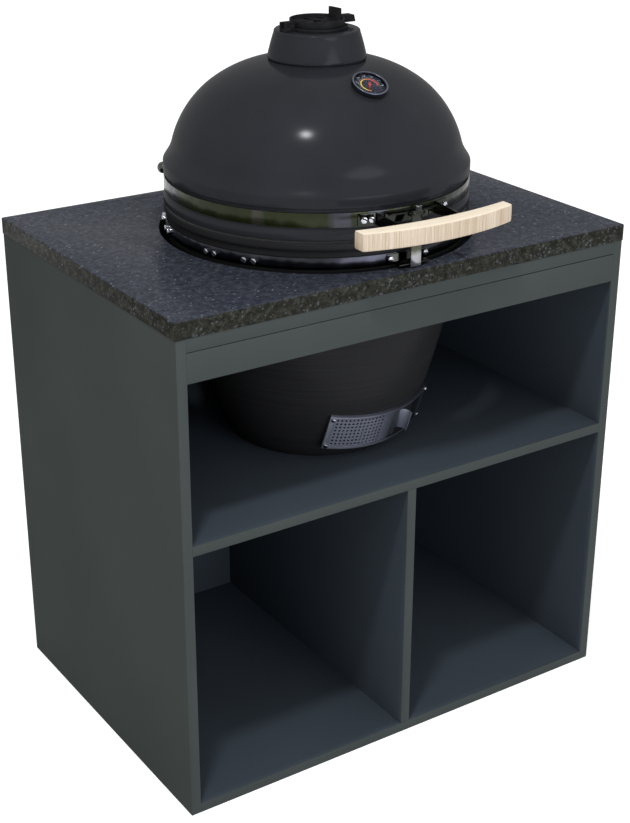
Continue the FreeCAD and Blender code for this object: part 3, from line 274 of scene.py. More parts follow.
def turned(outline, axis_at=(0.0, GRILL_Y), steps=TURN_STEPS):
    """A mesh of a closed (radius, height) outline turned round a vertical axis."""
    bm = bmesh.new()
    rings = []
    for i in range(steps):
        angle = 2 * math.pi * i / steps
        c = math.cos(angle)
        s = math.sin(angle)
        rings.append([bm.verts.new((axis_at[0] + r * c, axis_at[1] + r * s, z)) for r, z in outline])
    for i, ring in enumerate(rings):
        joined(bm, ring, rings[(i + 1) % steps])
    bmesh.ops.remove_doubles(bm, verts=bm.verts, dist=TINY)
    return bm


def cast(name, material, ease):
    """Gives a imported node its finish, with its edges rounded a little and shaded smooth."""
    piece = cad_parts[name]
    piece.data.materials.clear()
    piece.data.materials.append(material)
    weld = piece.modifiers.new("weld", "WELD")
    weld.merge_threshold = WELD
    bevel = piece.modifiers.new("ease", "BEVEL")
    bevel.width = ease
    bevel.segments = 2
    bevel.limit_method = "ANGLE"
    bevel.angle_limit = math.radians(EASED_ANGLE)
    bevel.harden_normals = True
    piece.data.shade_smooth()


def cast_all(names, material, ease):
    """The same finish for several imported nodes."""
    for name in names:
        cast(name, material, ease)


# Material helpers

def new_material(name):
    """A material and its surface shader."""
    material = bpy.data.materials.new(name)
    material.use_nodes = True
    return material, material.node_tree.nodes["Principled BSDF"]


def add(material, kind, settings=None, **values):
    """A node, with its settings and its input values or links by name."""
    tree = material.node_tree
    node = tree.nodes.new(kind)
    for key, value in (settings or {}).items():
        setattr(node, key, value)
    for key, value in values.items():
        put(material, node, key.replace("_", " "), value)
    return node


def put(material, node, socket, value):
    """Links a socket or sets its value."""
    if isinstance(value, bpy.types.NodeSocket):
        material.node_tree.links.new(value, node.inputs[socket])
    else:
        node.inputs[socket].default_value = value


def place(material, scale=(1, 1, 1)):
    """The point in the object's own frame, stretched."""
    where = add(material, "ShaderNodeTexCoord")
    stretch = add(material, "ShaderNodeMapping", Vector=where.outputs["Object"], Scale=scale)
    return stretch.outputs["Vector"]


def coordinate(material, axis):
    """How far along X, Y or Z of the object's own frame a point is."""
    where = add(material, "ShaderNodeTexCoord")
    parts = add(material, "ShaderNodeSeparateXYZ", Vector=where.outputs["Object"])
    return parts.outputs[axis]


def facing_up(material):
    """The Z part of a face's direction: 1 on a level top, 0 on an upright side."""
    geometry = add(material, "ShaderNodeNewGeometry")
    parts = add(material, "ShaderNodeSeparateXYZ", Vector=geometry.outputs["Normal"])
    return parts.outputs["Z"]


def noise(material, point, scale, detail=3.0, roughness=0.5):
    """Cloudy noise: a value about 0.5, with its scale in features to the metre."""
    node = add(material, "ShaderNodeTexNoise", Vector=point, Scale=scale, Detail=detail, Roughness=roughness)
    return node.outputs["Fac"]


def ramp(material, value, stops):
    """A colour from a value; stops are (place, colour)."""
    node = add(material, "ShaderNodeValToRGB", Fac=value)
    first, last = node.color_ramp.elements
    for element, (spot, colour) in zip((first, last), (stops[0], stops[-1])):
        element.position = spot
        element.color = (*colour, 1)
    for spot, colour in stops[1:-1]:
        element = node.color_ramp.elements.new(spot)
        element.color = (*colour, 1)
    return node.outputs["Color"]


def spread(material, value, low, high, from_low=0.3, from_high=0.7):
    """Maps a value to a range."""
    node = add(material, "ShaderNodeMapRange", Value=value)
    node.inputs["From Min"].default_value = from_low
    node.inputs["From Max"].default_value = from_high
    node.inputs["To Min"].default_value = low
    node.inputs["To Max"].default_value = high
    return node.outputs["Result"]


def mixed(material, share, a, b):
    """Colour a turning to colour b as share goes from 0 to 1."""
    node = add(material, "ShaderNodeMix", {"data_type": "RGBA"})
    put(material, node, "Factor", share)
    sockets = [s for s in node.inputs if s.type == "RGBA"]
    for socket, value in zip(sockets, (a, b)):
        if isinstance(value, bpy.types.NodeSocket):
            material.node_tree.links.new(value, socket)
        else:
            socket.default_value = (*value, 1)
    return next(s for s in node.outputs if s.type == "RGBA")


def maths(material, operation, a, b=0.0):
    """One sum on links or numbers."""
    node = add(material, "ShaderNodeMath", {"operation": operation})
    for socket, value in zip(node.inputs, (a, b)):
        if isinstance(value, bpy.types.NodeSocket):
            material.node_tree.links.new(value, socket)
        else:
            socket.default_value = value
    return node.outputs["Value"]


def times(material, a, b):
    """The product of two links or numbers."""
    return maths(material, "MULTIPLY", a, b)


def wander(material, scale, reach):
    """A small shift to either side, so that two tones don't part along a straight line."""
    clouds = noise(material, place(material), scale)
    return times(material, maths(material, "SUBTRACT", clouds, 0.5), reach)


def rolling_lines(material):
    """Fine level lines, as sheet metal has them from the rollers."""
    return noise(material, place(material, (0.4, 0.4, 40.0)), scale=60.0, detail=3.0)


def glossed(shader, weight, roughness):
    """A thin clear skin in place of the shader's own sheen, so that its edges stay dark."""
    shader.inputs["Specular IOR Level"].default_value = 0.0
    shader.inputs["Coat Weight"].default_value = weight
    shader.inputs["Coat Roughness"].default_value = roughness


def bare_inside(material, colour, low_z, upright=1.0):
    """The glaze's colour outside, and bare sooted clay on faces that look in towards the grill's axis.

    upright is how much the height above low_z counts beside the distance from the axis.
    """
    where = add(material, "ShaderNodeTexCoord")
    away = add(material, "ShaderNodeVectorMath", {"operation": "SUBTRACT"})
    put(material, away, 0, where.outputs["Object"])
    put(material, away, 1, (0.0, GRILL_Y, low_z))
    spot = add(material, "ShaderNodeVectorMath", {"operation": "MULTIPLY"})
    put(material, spot, 0, away.outputs["Vector"])
    put(material, spot, 1, (1.0, 1.0, upright))
    facing = add(material, "ShaderNodeVectorMath", {"operation": "DOT_PRODUCT"})
    put(material, facing, 0, spot.outputs["Vector"])
    put(material, facing, 1, where.outputs["Normal"])
    inside = maths(material, "LESS_THAN", facing.outputs["Value"], 0.0)
    soot = noise(material, where.outputs["Object"], scale=11.0, detail=4.0)
    clay = ramp(material, soot, [(0.35, (0.260, 0.215, 0.160)), (0.65, (0.110, 0.092, 0.072))])
    return mixed(material, inside, colour, clay)


def bumped(material, shader, height, strength, distance):
    """Gives the shader a fine relief; distance is its full height."""
    node = add(material, "ShaderNodeBump", Height=height, Strength=strength, Distance=distance)
    put(material, shader, "Normal", node.outputs["Normal"])


# Materials

def cabinet_film_and_bay_light():
    """Matt anthracite film on board: a fine pebbled skin, slightly cloudy, and bluer inside the bays from
    painted cool light.
    """
    m, shader = new_material("cabinet_film_and_bay_light")
    point = place(m)
    clouds = noise(m, point, scale=3.0, detail=4.0)
    grain = noise(m, point, scale=1400.0, detail=2.0)
    tone = maths(m, "ADD", times(m, clouds, 0.7), times(m, grain, 0.3))
    outer = ramp(m, tone, [(0.3, (0.047, 0.055, 0.052)), (0.7, (0.061, 0.070, 0.068))])
    # Painted cool light: faces inside the bays get a bluer tone of the same film
    inner = ramp(m, tone, [(0.3, (0.0455, 0.057, 0.070)), (0.7, (0.0585, 0.073, 0.090))])
    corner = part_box("left_side_panel")[0]
    # Masks of the faces inside the bays, where the painted light goes
    across = maths(m, "LESS_THAN", maths(m, "ABSOLUTE", coordinate(m, "X")), -corner.x - PAINTED_BAY_LIGHT_STEP)
    along = maths(m, "LESS_THAN", maths(m, "ABSOLUTE", coordinate(m, "Y")), -corner.y - PAINTED_BAY_LIGHT_STEP)
    put(m, shader, "Base Color", mixed(m, times(m, across, along), outer, inner))
    put(m, shader, "Roughness", spread(m, clouds, 0.46, 0.56))
    glossed(shader, weight=0.04, roughness=0.45)
    bumped(m, shader, grain, strength=0.12, distance=0.0002)
    return m


def granite():
    """Polished dark stone: blue-grey crystals, flakes and bright flecks, and darker and browner on its
    upright faces.
    """
    m, shader = new_material("granite")
    point = place(m)
    warp = noise(m, point, scale=55.0, detail=2.0)
    fine = noise(m, point, scale=420.0, detail=3.0, roughness=0.6)
    patches = noise(m, point, scale=85.0, detail=5.0, roughness=0.65)
    body = ramp(m, patches, [
        (0.34, (0.0205, 0.023, 0.031)), (0.50, (0.031, 0.035, 0.047)), (0.66, (0.052, 0.059, 0.079))])
    body = mixed(m, spread(m, fine, 0.0, 0.45, from_low=0.52, from_high=0.72), body, (0.080, 0.089, 0.115))
    # Upright faces: darker and browner than the level ones
    upright_tone = ramp(m, patches, [
        (0.34, (0.005, 0.0055, 0.0035)), (0.50, (0.014, 0.0145, 0.010)), (0.66, (0.039, 0.039, 0.030))])
    upright_tone = mixed(m, spread(m, fine, 0.0, 0.45, from_low=0.54, from_high=0.70), upright_tone, (0.070, 0.070, 0.060))
    level = maths(m, "GREATER_THAN", maths(m, "ABSOLUTE", facing_up(m)), 0.6)
    colour = mixed(m, level, upright_tone, body)
    crystals = add(m, "ShaderNodeTexVoronoi", Vector=point, Scale=300.0)
    shade = add(m, "ShaderNodeSeparateColor", Color=crystals.outputs["Color"])
    flake = maths(m, "GREATER_THAN", shade.outputs["Red"], 0.88)
    colour = mixed(m, times(m, flake, spread(m, warp, 0.0, 0.6)), colour, (0.115, 0.120, 0.135))
    flecks = add(m, "ShaderNodeTexVoronoi", Vector=place(m, (1.0, 1.7, 1.0)), Scale=120.0)
    lucky = add(m, "ShaderNodeSeparateColor", Color=flecks.outputs["Color"])
    few = maths(m, "GREATER_THAN", lucky.outputs["Green"], 0.93)
    small = maths(m, "LESS_THAN", flecks.outputs["Distance"], 0.22)
    bright = times(m, times(m, few, small), 0.7)
    colour = mixed(m, bright, colour, (0.30, 0.31, 0.34))
    put(m, shader, "Base Color", colour)
    put(m, shader, "Roughness", spread(m, patches, 0.3, 0.5))
    glossed(shader, weight=0.16, roughness=0.22)
    shader.inputs["Coat Tint"].default_value = (0.97, 0.98, 1.0, 1)
    bumped(m, shader, patches, strength=0.04, distance=0.0003)
    return m


def black_glaze():
    """Black glazed ceramic of the lid: satin, with the faint orange peel of a sprayed glaze."""
    m, shader = new_material("black_glaze")
    point = place(m)
    peel = noise(m, point, scale=260.0, detail=2.0)
    clouds = noise(m, point, scale=9.0, detail=3.0)
    glaze = ramp(m, clouds, [(0.3, (0.0185, 0.0193, 0.0228)), (0.7, (0.0230, 0.0240, 0.0282))])
    put(m, shader, "Base Color", bare_inside(m, glaze, LID_Z, upright=0.0))
    put(m, shader, "Roughness", spread(m, clouds, 0.3, 0.4))
    glossed(shader, weight=0.15, roughness=0.17)
    bumped(m, shader, peel, strength=0.03, distance=0.0003)
    return m


def matt_glaze():
    """The bowl's duller black, with faint rings left from turning."""
    m, shader = new_material("matt_glaze")
    point = place(m)
    rings = noise(m, place(m, (0.6, 0.6, 60.0)), scale=6.0, detail=3.0)
    fine = noise(m, point, scale=420.0, detail=2.0)
    glaze = ramp(m, rings, [(0.3, (0.015, 0.015, 0.016)), (0.7, (0.021, 0.021, 0.022))])
    put(m, shader, "Base Color", bare_inside(m, glaze, SHELF_TOP + BOWL_FLOOR + BOWL_SHOULDER[1] / 2))
    put(m, shader, "Roughness", spread(m, fine, 0.40, 0.52))
    glossed(shader, weight=0.10, roughness=0.30)
    bumped(m, shader, fine, strength=0.08, distance=0.0003)
    return m


def refractory():
    """Unglazed fire clay: pale buff with dark grog, sooted in patches."""
    m, shader = new_material("refractory")
    point = place(m)
    grog = noise(m, point, scale=500.0, detail=4.0, roughness=0.7)
    soot = noise(m, point, scale=14.0, detail=4.0)
    clay = ramp(m, grog, [(0.35, (0.22, 0.17, 0.12)), (0.65, (0.42, 0.34, 0.25))])
    sooted = spread(m, soot, 0.0, 0.6, from_low=0.45, from_high=0.75)
    put(m, shader, "Base Color", mixed(m, sooted, clay, (0.05, 0.045, 0.04)))
    shader.inputs["Roughness"].default_value = 0.9
    bumped(m, shader, grog, strength=0.35, distance=0.0006)
    return m


def felt():
    """Black fibre gasket."""
    m, shader = new_material("felt")
    fibre = noise(m, place(m), scale=1800.0, detail=4.0, roughness=0.8)
    put(m, shader, "Base Color", ramp(m, fibre, [(0.3, (0.006, 0.006, 0.006)), (0.7, (0.030, 0.030, 0.031))]))
    shader.inputs["Roughness"].default_value = 0.95
    shader.inputs["Sheen Weight"].default_value = 0.3
    bumped(m, shader, fibre, strength=0.5, distance=0.0006)
    return m


def polished_steel(name, dark, light, rough):
    """Bright steel: soft clouds between a dark and a light tone, and fine rolling lines."""
    m, shader = new_material(name)
    clouds = noise(m, place(m, (1.0, 1.0, 0.25)), scale=16.0, detail=3.0)
    lines = rolling_lines(m)
    put(m, shader, "Base Color", ramp(m, clouds, [(0.32, dark), (0.68, light)]))
    shader.inputs["Metallic"].default_value = 1.0
    put(m, shader, "Roughness", spread(m, lines, rough * 0.7, rough * 1.4))
    bumped(m, shader, lines, strength=0.05, distance=0.0001)
    return m


def vent_steel_painted_shade(name, start, end, stops):
    """Satin sheet steel whose tone runs through the stops along X, from start to end; the stops paint the
    shade that falls across it.
    """
    m, shader = new_material(name)
    clouds = noise(m, place(m, (1.0, 1.0, 0.25)), scale=30.0, detail=3.0)
    lines = rolling_lines(m)
    across = maths(m, "ADD", coordinate(m, "X"), spread(m, clouds, -0.006, 0.006))
    tone = ramp(m, spread(m, across, 0.0, 1.0, from_low=start, from_high=end), stops)
    put(m, shader, "Base Color", mixed(m, spread(m, lines, 0.0, 0.25), tone, (0.08, 0.085, 0.10)))
    shader.inputs["Metallic"].default_value = 0.35
    put(m, shader, "Roughness", spread(m, lines, 0.25, 0.42))
    bumped(m, shader, lines, strength=0.05, distance=0.0001)
    return m


def strap_steel_painted_reflection():
    """The latch strap: mirror steel with a painted reflection of the dark stone, and paler towards its lower
    end.
    """
    m, shader = new_material("strap_steel_painted_reflection")
    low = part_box("latch_strap")[0].z
    height = maths(m, "SUBTRACT", coordinate(m, "Z"), low)
    height = maths(m, "ADD", height, wander(m, scale=120.0, reach=0.012))
    # Painted reflection: dark olive tones of the stone mirrored on the upper strap
    put(m, shader, "Base Color", ramp(m, spread(m, height, 0.0, 1.0, from_low=0.0, from_high=0.060), [
        (0.05, (0.30, 0.30, 0.32)), (0.30, (0.34, 0.34, 0.35)), (0.45, (0.075, 0.080, 0.050)),
        (1.0, (0.030, 0.033, 0.026))]))
    shader.inputs["Metallic"].default_value = 0.8
    lines = rolling_lines(m)
    put(m, shader, "Roughness", spread(m, lines, 0.12, 0.22))
    return m


def band_steel_painted_reflections(name, stops, metal, rough):
    """Mirror-rolled band: steel whose tone changes in soft upright patches along its length, painted
    reflections of what stands round it.
    """
    m, shader = new_material(name)
    clouds = noise(m, place(m, (1.0, 1.0, 0.12)), scale=13.0, detail=2.0)
    lines = rolling_lines(m)
    put(m, shader, "Base Color", ramp(m, clouds, stops))
    shader.inputs["Metallic"].default_value = metal
    put(m, shader, "Roughness", spread(m, lines, rough * 0.8, rough * 1.3))
    bumped(m, shader, lines, strength=0.005, distance=0.0001)
    return m


def cast_iron():
    """Black painted cast iron: a sandy cast skin."""
    m, shader = new_material("cast_iron")
    sand = noise(m, place(m), scale=900.0, detail=4.0, roughness=0.65)
    worn = noise(m, place(m), scale=30.0, detail=3.0)
    put(m, shader, "Base Color", ramp(m, worn, [(0.35, (0.009, 0.009, 0.010)), (0.7, (0.017, 0.017, 0.018))]))
    put(m, shader, "Roughness", spread(m, sand, 0.42, 0.62))
    glossed(shader, weight=0.06, roughness=0.35)
    bumped(m, shader, sand, strength=0.30, distance=0.0004)
    return m


def handle_wood():
    """Pale oiled wood: fine upright lines and narrow staves on its sides, smooth on top and paler there from
    painted light falling from above.
    """
    m, shader = new_material("handle_wood")
    fibre = noise(m, place(m, (10.0, 1.0, 0.12)), scale=70.0, detail=3.0, roughness=0.6)
    pores = noise(m, place(m, (20.0, 2.0, 0.6)), scale=90.0, detail=2.0)
    staves = noise(m, place(m, (1.0, 0.1, 0.02)), scale=75.0, detail=1.0)
    tone = maths(m, "ADD", times(m, fibre, 0.75), times(m, staves, 0.25))
    sides = ramp(m, tone, [
        (0.38, (0.450, 0.345, 0.242)), (0.50, (0.575, 0.472, 0.358)), (0.62, (0.650, 0.557, 0.445))])
    dark = maths(m, "LESS_THAN", pores, 0.38)
    sides = mixed(m, times(m, dark, 0.30), sides, (0.36, 0.26, 0.17))
    # The top: its own smooth grain, made paler than the sides by painted light from above
    grain = noise(m, place(m, (0.6, 12.0, 1.0)), scale=40.0, detail=4.0, roughness=0.6)
    top = ramp(m, grain, [(0.35, (0.820, 0.700, 0.545)), (0.65, (0.890, 0.790, 0.640))])
    level = spread(m, facing_up(m), 0.0, 1.0, from_low=0.45, from_high=0.85)
    put(m, shader, "Base Color", mixed(m, level, sides, top))
    put(m, shader, "Roughness", spread(m, fibre, 0.50, 0.62))
    glossed(shader, weight=0.08, roughness=0.35)
    bumped(m, shader, fibre, strength=0.08, distance=0.0004)
    return m


def dial_face():
    """Dark printed dial with a faint spun grain."""
    m, shader = new_material("dial_face")
    grain = noise(m, place(m), scale=2200.0, detail=2.0)
    put(m, shader, "Base Color", ramp(m, grain, [(0.3, (0.012, 0.015, 0.030)), (0.7, (0.022, 0.027, 0.050))]))
    shader.inputs["Roughness"].default_value = 0.45
    shader.inputs["Specular IOR Level"].default_value = 0.15
    return m


def print_ink(name, low, high):
    """Printed ink or paint, slightly uneven."""
    m, shader = new_material(name)
    uneven = noise(m, place(m), scale=1500.0, detail=3.0)
    put(m, shader, "Base Color", ramp(m, uneven, [(0.3, low), (0.7, high)]))
    shader.inputs["Roughness"].default_value = 0.4
    return m


def scale_ink():
    """The dial's coloured arc: yellow at the cool end, through orange, to red."""
    m, shader = new_material("scale_ink")
    across = maths(m, "ADD", coordinate(m, "X"), wander(m, scale=400.0, reach=0.002))
    put(m, shader, "Base Color", ramp(m, spread(m, across, 0.0, 1.0, from_low=-0.013, from_high=0.014), [
        (0.0, (0.85, 0.62, 0.05)), (0.45, (0.80, 0.30, 0.03)), (0.8, (0.70, 0.05, 0.03))]))
    shader.inputs["Roughness"].default_value = 0.4
    return m


def clear_glass():
    """The thermometer's flat glass, with a faint smear."""
    m, shader = new_material("clear_glass")
    smear = noise(m, place(m), scale=60.0, detail=3.0)
    shader.inputs["Base Color"].default_value = (0.95, 0.97, 0.98, 1)
    shader.inputs["Transmission Weight"].default_value = 1.0
    put(m, shader, "Roughness", spread(m, smear, 0.0, 0.05))
    shader.inputs["IOR"].default_value = 1.08
    return m


# Pieces

def make_bowl(material):
    """The ceramic bowl, with its foot, shoulder and rim rounded and its air window cut."""
    lip = BOWL_TOP - BOWL_LIP
    seat = lip - LIP_CHAMFER
    foot_in = FOOT_RADIUS - BOWL_WALL / 4
    foot_out = (FOOT_RADIUS + FOOT_FLARE[0], SHELF_TOP + FOOT_FLARE[1])
    outline = [(AXIS_RADIUS, SHELF_TOP + BOWL_FLOOR), (AXIS_RADIUS, SHELF_TOP)]
    outline += [(FOOT_RADIUS - FOOT_ROUND, SHELF_TOP)]
    outline += arc(outline[-1], foot_out, FOOT_BULGE, steps=4)
    outline += [(r, SHELF_TOP + z) for r, z in VENT_SEAT]
    outline += arc(outline[-1], (BOWL_SHOULDER[0], SHELF_TOP + BOWL_SHOULDER[1]), BOWL_BULGE, steps=20)
    outline += eased([
        outline[-1],
        (SEAT_RADIUS, seat - BOWL_SEAT),
        (SEAT_RADIUS, seat),
        (LIP_RADIUS, lip),
        (LIP_RADIUS, BOWL_TOP),
        (MOUTH_RADIUS, BOWL_TOP),
        (MOUTH_RADIUS, seat - BOWL_SEAT),
        (foot_in, SHELF_TOP + BOWL_FLOOR),
    ], CORNER_EASE, closed=False)[1:]
    bowl = object_from(turned(outline), "bowl_shell", "table", material)
    cut_away(bowl, window_block())
    cut_away(bowl, seat_block())
    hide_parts("base_bowl")


def on_vent(radius, angle, z):
    """A point of the bottom vent: distance from its axis, degrees from its middle, height up its slope."""
    turn = math.radians(angle)
    (low_radius, low_z), (high_radius, high_z) = VENT_SEAT
    surface = low_radius + (VENT_LIFT - low_z) / (high_z - low_z) * (high_radius - low_radius)
    upright = Vector((radius * math.sin(turn), VENT_SEAT_RADIUS - radius * math.cos(turn), z))
    leaning = Matrix.Rotation(VENT_TILT, 3, "X") @ upright
    leaning += Vector((0, VENT_SINK - surface, SHELF_TOP + VENT_LIFT))
    return Matrix.Rotation(VENT_AZIMUTH, 3, "Z") @ leaning + Vector((0, GRILL_Y, 0))


def window_block():
    """What the bowl loses for the air window behind the bottom vent."""
    bm = bmesh.new()
    corners = []
    for radius in WINDOW_RADII:
        for z in WINDOW_HEIGHTS:
            for side in (-1, 1):
                angle = VENT_AZIMUTH + WINDOW_HALF_ANGLE * side
                spot = (radius * math.sin(angle), GRILL_Y - radius * math.cos(angle), SHELF_TOP + z)
                corners.append(bm.verts.new(spot))
    bmesh.ops.convex_hull(bm, input=corners)
    return bm


def seat_block():
    """What the bowl loses for the vent's seat: a block rolled about the vent's axis."""
    bm = bmesh.new()
    steps = 24
    half = VENT_HALF_ANGLE + math.degrees(VENT_PLAY / VENT_SEAT_RADIUS)
    bottom = -VENT_PLAY
    top = VENT_HEIGHT + VENT_PLAY
    outside = VENT_SEAT_RADIUS + VENT_HEIGHT
    section = ((VENT_SEAT_RADIUS, bottom), (VENT_SEAT_RADIUS, top), (outside, top), (outside, bottom))
    rings = []
    for i in range(steps + 1):
        angle = half * (2 * i / steps - 1)
        rings.append([bm.verts.new(on_vent(r, angle, z)) for r, z in section])
    for ring, after in zip(rings, rings[1:]):
        joined(bm, ring, after)
    bm.faces.new(rings[0])
    bm.faces.new(rings[-1])
    return bm


def cut_away(piece, bm):
    """Cuts a block out of a mesh."""
    block = object_from(bm, "block", "table", piece.data.materials[0])
    cut = piece.modifiers.new("cut", "BOOLEAN")
    cut.operation = "DIFFERENCE"
    cut.object = block
    cut.solver = "EXACT"
    graph = bpy.context.evaluated_depsgraph_get()
    made = bpy.data.meshes.new_from_object(piece.evaluated_get(graph))
    piece.modifiers.clear()
    piece.data = made
    piece.data.set_sharp_from_angle(angle=math.radians(SMOOTH_ANGLE))
    bpy.data.objects.remove(block)


def screen_cell(bm, angle, z, half_height, hole):
    """Both faces of one cell of the perforated sheet, with the wall of its hole."""
    # The edge has as many points as the hole, and both start at the same corner
    half_angle = HOLE_STEP_ANGLE / 2
    third = 1 / 3
    edge = [(1, -1), (1, -third), (1, third), (1, 1), (third, 1), (-third, 1), (-1, 1), (-1, third),
            (-1, -third), (-1, -1), (-third, -1), (third, -1)]
    inner_face = VENT_SEAT_RADIUS + SCREEN_OUT
    walls = []
    for radius in (inner_face, inner_face + VENT_SHEET):
        outer = [bm.verts.new(on_vent(radius, angle + x * half_angle, z + y * half_height)) for x, y in edge]
        if not hole:
            bm.faces.new(outer)
            continue
        inner = []
        for i in range(HOLE_SPOKES):
            turn = 2 * math.pi * (i - 1.5) / HOLE_SPOKES
            across = math.degrees(HOLE_RADIUS * math.cos(turn) / radius)
            inner.append(bm.verts.new(on_vent(radius, angle + across, z + HOLE_RADIUS * math.sin(turn))))
        joined(bm, outer, inner)
        walls.append(inner)
    if hole:
        joined(bm, *walls)


def make_screen(material):
    """The perforated sheet: a round hole in each cell of its grid, and a plain strip beside them."""
    bm = bmesh.new()
    middle = (HOLE_ROWS - 1) / 2
    margin = (VENT_HEIGHT / 2 - VENT_INNER_EDGE - HOLE_ROWS / 2 * HOLE_PITCH) / 2
    for column in range(HOLE_COLUMNS + PLAIN_FLATS):
        angle = SCREEN_FROM + HOLE_STEP_ANGLE * (column + 0.5)
        for row in range(HOLE_ROWS):
            z = VENT_HEIGHT / 2 + HOLE_PITCH * (row - middle)
            screen_cell(bm, angle, z, HOLE_PITCH / 2, column < HOLE_COLUMNS)
        for side in (-1, 1):
            z = VENT_HEIGHT / 2 + side * (HOLE_ROWS / 2 * HOLE_PITCH + margin)
            screen_cell(bm, angle, z, margin, False)
    bmesh.ops.remove_doubles(bm, verts=bm.verts, dist=WELD)
    rim = [e for e in bm.edges if e.is_boundary]
    bmesh.ops.bridge_loops(bm, edges=rim)
    screen = object_from(bm, "screen_sheet", "screen", material, SHEET_SMOOTH_ANGLE)
    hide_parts("vent_screen")


def make_dome(material):
    """The ceramic lid: rim, flare, dome in two arcs, and its chimney neck."""
    base = (DOME_BASE[0], LID_Z + DOME_BASE[1])
    shoulder = (DOME_SHOULDER[0], LID_Z + DOME_SHOULDER[1])
    crown = (DOME_CROWN[0], LID_Z + DOME_CROWN[1])
    rim_low = LID_Z + RIM_LOW
    rim_high = LID_Z + RIM_HIGH
    outline = eased([
        (MOUTH_RADIUS, LID_Z + MOUTH_RISE),
        (MOUTH_RADIUS, LID_Z),
        (LIP_RADIUS, LID_Z),
        (LIP_RADIUS, LID_Z + LID_LIP),
        (SEAT_RADIUS, LID_Z + LID_LIP + LID_CHAMFER),
        (SEAT_RADIUS, rim_low),
        (RIM_RADIUS, rim_low),
        (RIM_RADIUS, rim_high),
        (RIM_RADIUS - RIM_SLOPE[0], rim_high + RIM_SLOPE[1]),
    ], CORNER_EASE, closed=False)
    outline += arc(outline[-1], base, FLARE_BULGE, steps=8)
    outline += arc(base, shoulder, DOME_SIDE_BULGE, steps=22)
    outline += arc(shoulder, crown, DOME_CROWN_BULGE, steps=22)
    neck = (NECK_TOP_RADIUS + NECK_ROUND_OUT, NECK_TOP - NECK_ROUND)
    outline += [(crown[0] - NECK_CREASE, crown[1] + height) for height in CREASE_HEIGHTS]
    outline += arc(outline[-1], (crown[0] + NECK_FOOT[0], crown[1] + NECK_FOOT[1]), NECK_BULGE, steps=4)
    outline += arc(outline[-1], neck, NECK_BULGE, steps=8)
    outline += arc(outline[-1], (NECK_TOP_RADIUS, NECK_TOP), NECK_ROUND_BULGE, steps=4)
    inner_shoulder = (shoulder[0] - DOME_SHOULDER_INSET, shoulder[1] - DOME_SHOULDER_INSET)
    inner_rim = (MOUTH_RADIUS, rim_high - DOME_WALL)
    outline += [(CHIMNEY_BORE, NECK_TOP), (CHIMNEY_BORE, crown[1] - DOME_WALL)]
    outline += arc(outline[-1], inner_shoulder, -DOME_CROWN_BULGE, steps=12)
    outline += arc(inner_shoulder, inner_rim, -DOME_SIDE_BULGE / 2, steps=12)
    dome = object_from(turned(outline), "dome_shell", "lid", material)
    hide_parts("lid_dome")


def handle_ring(bm, x, section_x, trim):
    """The handle's rounded section as it is at section_x, drawn in by trim and placed at x."""
    low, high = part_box("wood_handle")
    outer_y = HANDLE_OUTER_ARC - HANDLE_REACH
    inner_y = HANDLE_INNER_ARC - (HANDLE_REACH - HANDLE_THICKNESS)
    y0 = outer_y - math.sqrt(HANDLE_OUTER_ARC ** 2 - section_x ** 2) + trim
    y1 = inner_y - math.sqrt(HANDLE_INNER_ARC ** 2 - section_x ** 2) - trim
    z0 = low.z + trim
    z1 = high.z - trim
    section = eased([(y0, z0), (y1, z0), (y1, z1), (y0, z1)], HANDLE_ROUND, HANDLE_CORNER_STEPS)
    return [bm.verts.new((x, y, z)) for y, z in section]


def make_handle(material):
    """The bowed bar: a rounded section carried along its arc, with square eased ends."""
    bm = bmesh.new()
    rings = [handle_ring(bm, -HANDLE_HALF, -HANDLE_HALF, HANDLE_END_TRIM)]
    rings.append(handle_ring(bm, -HANDLE_HALF + HANDLE_END_TRIM, -HANDLE_HALF, 0.0))
    for i in range(1, HANDLE_STOPS):
        x = -HANDLE_HALF + 2 * HANDLE_HALF * i / HANDLE_STOPS
        rings.append(handle_ring(bm, x, x, 0.0))
    rings.append(handle_ring(bm, HANDLE_HALF - HANDLE_END_TRIM, HANDLE_HALF, 0.0))
    rings.append(handle_ring(bm, HANDLE_HALF, HANDLE_HALF, HANDLE_END_TRIM))
    for ring, after in zip(rings, rings[1:]):
        joined(bm, ring, after)
    bm.faces.new(rings[0])
    bm.faces.new(rings[-1])
    bar = object_from(bm, "handle_bar", "lid", material, HANDLE_SMOOTH_ANGLE)
    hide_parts("wood_handle")


# Thermometer dial

def on_gauge(x, y, z):
    """A point on the thermometer: x to the right, y up its face, z out of it."""
    return GAUGE_SEAT + Matrix.Rotation(GAUGE_TILT, 3, "X") @ Vector((x, y, z))


def dial_direction(turn):
    """The direction of a place on the scale: 0 degrees is straight down, growing clockwise."""
    angle = math.radians(-90 - turn)
    return math.cos(angle), math.sin(angle)


def along_scale(i, count):
    """The place on the scale of the i-th of so many marks spaced evenly from its start to its end."""
    return SCALE_START + (SCALE_END - SCALE_START) * i / (count - 1)


def dial_strip(bm, radii, low, high, steps=1):
    """A printed strip of the dial between two radii and two places on its scale."""
    last = None
    for i in range(steps + 1):
        c, s = dial_direction(low + (high - low) * i / steps)
        now = [bm.verts.new(on_gauge(r * c, r * s, DIAL_TOP + PRINT_LIFT)) for r in radii]
        if last:
            bm.faces.new((last[0], last[1], now[1], now[0]))
        last = now


def make_dial(arc_ink, white_ink):
    """The coloured arc, the ticks and the numbers."""
    bm = bmesh.new()
    dial_strip(bm, ARC_RADII, SCALE_START, SCALE_END, ARC_STEPS)
    object_from(bm, "dial_arc", "lid", arc_ink)
    bm = bmesh.new()
    for i in range(MARKS):
        turn = along_scale(i, MARKS)
        inner, outer = MARK_RADII
        if i % MARKS_TO_A_LONG_ONE == 0:
            outer = LONG_MARK_RADIUS
        dial_strip(bm, (inner, outer), turn - MARK_HALF_WIDTH, turn + MARK_HALF_WIDTH)
    object_from(bm, "dial_marks", "lid", white_ink)
    make_numbers(white_ink)


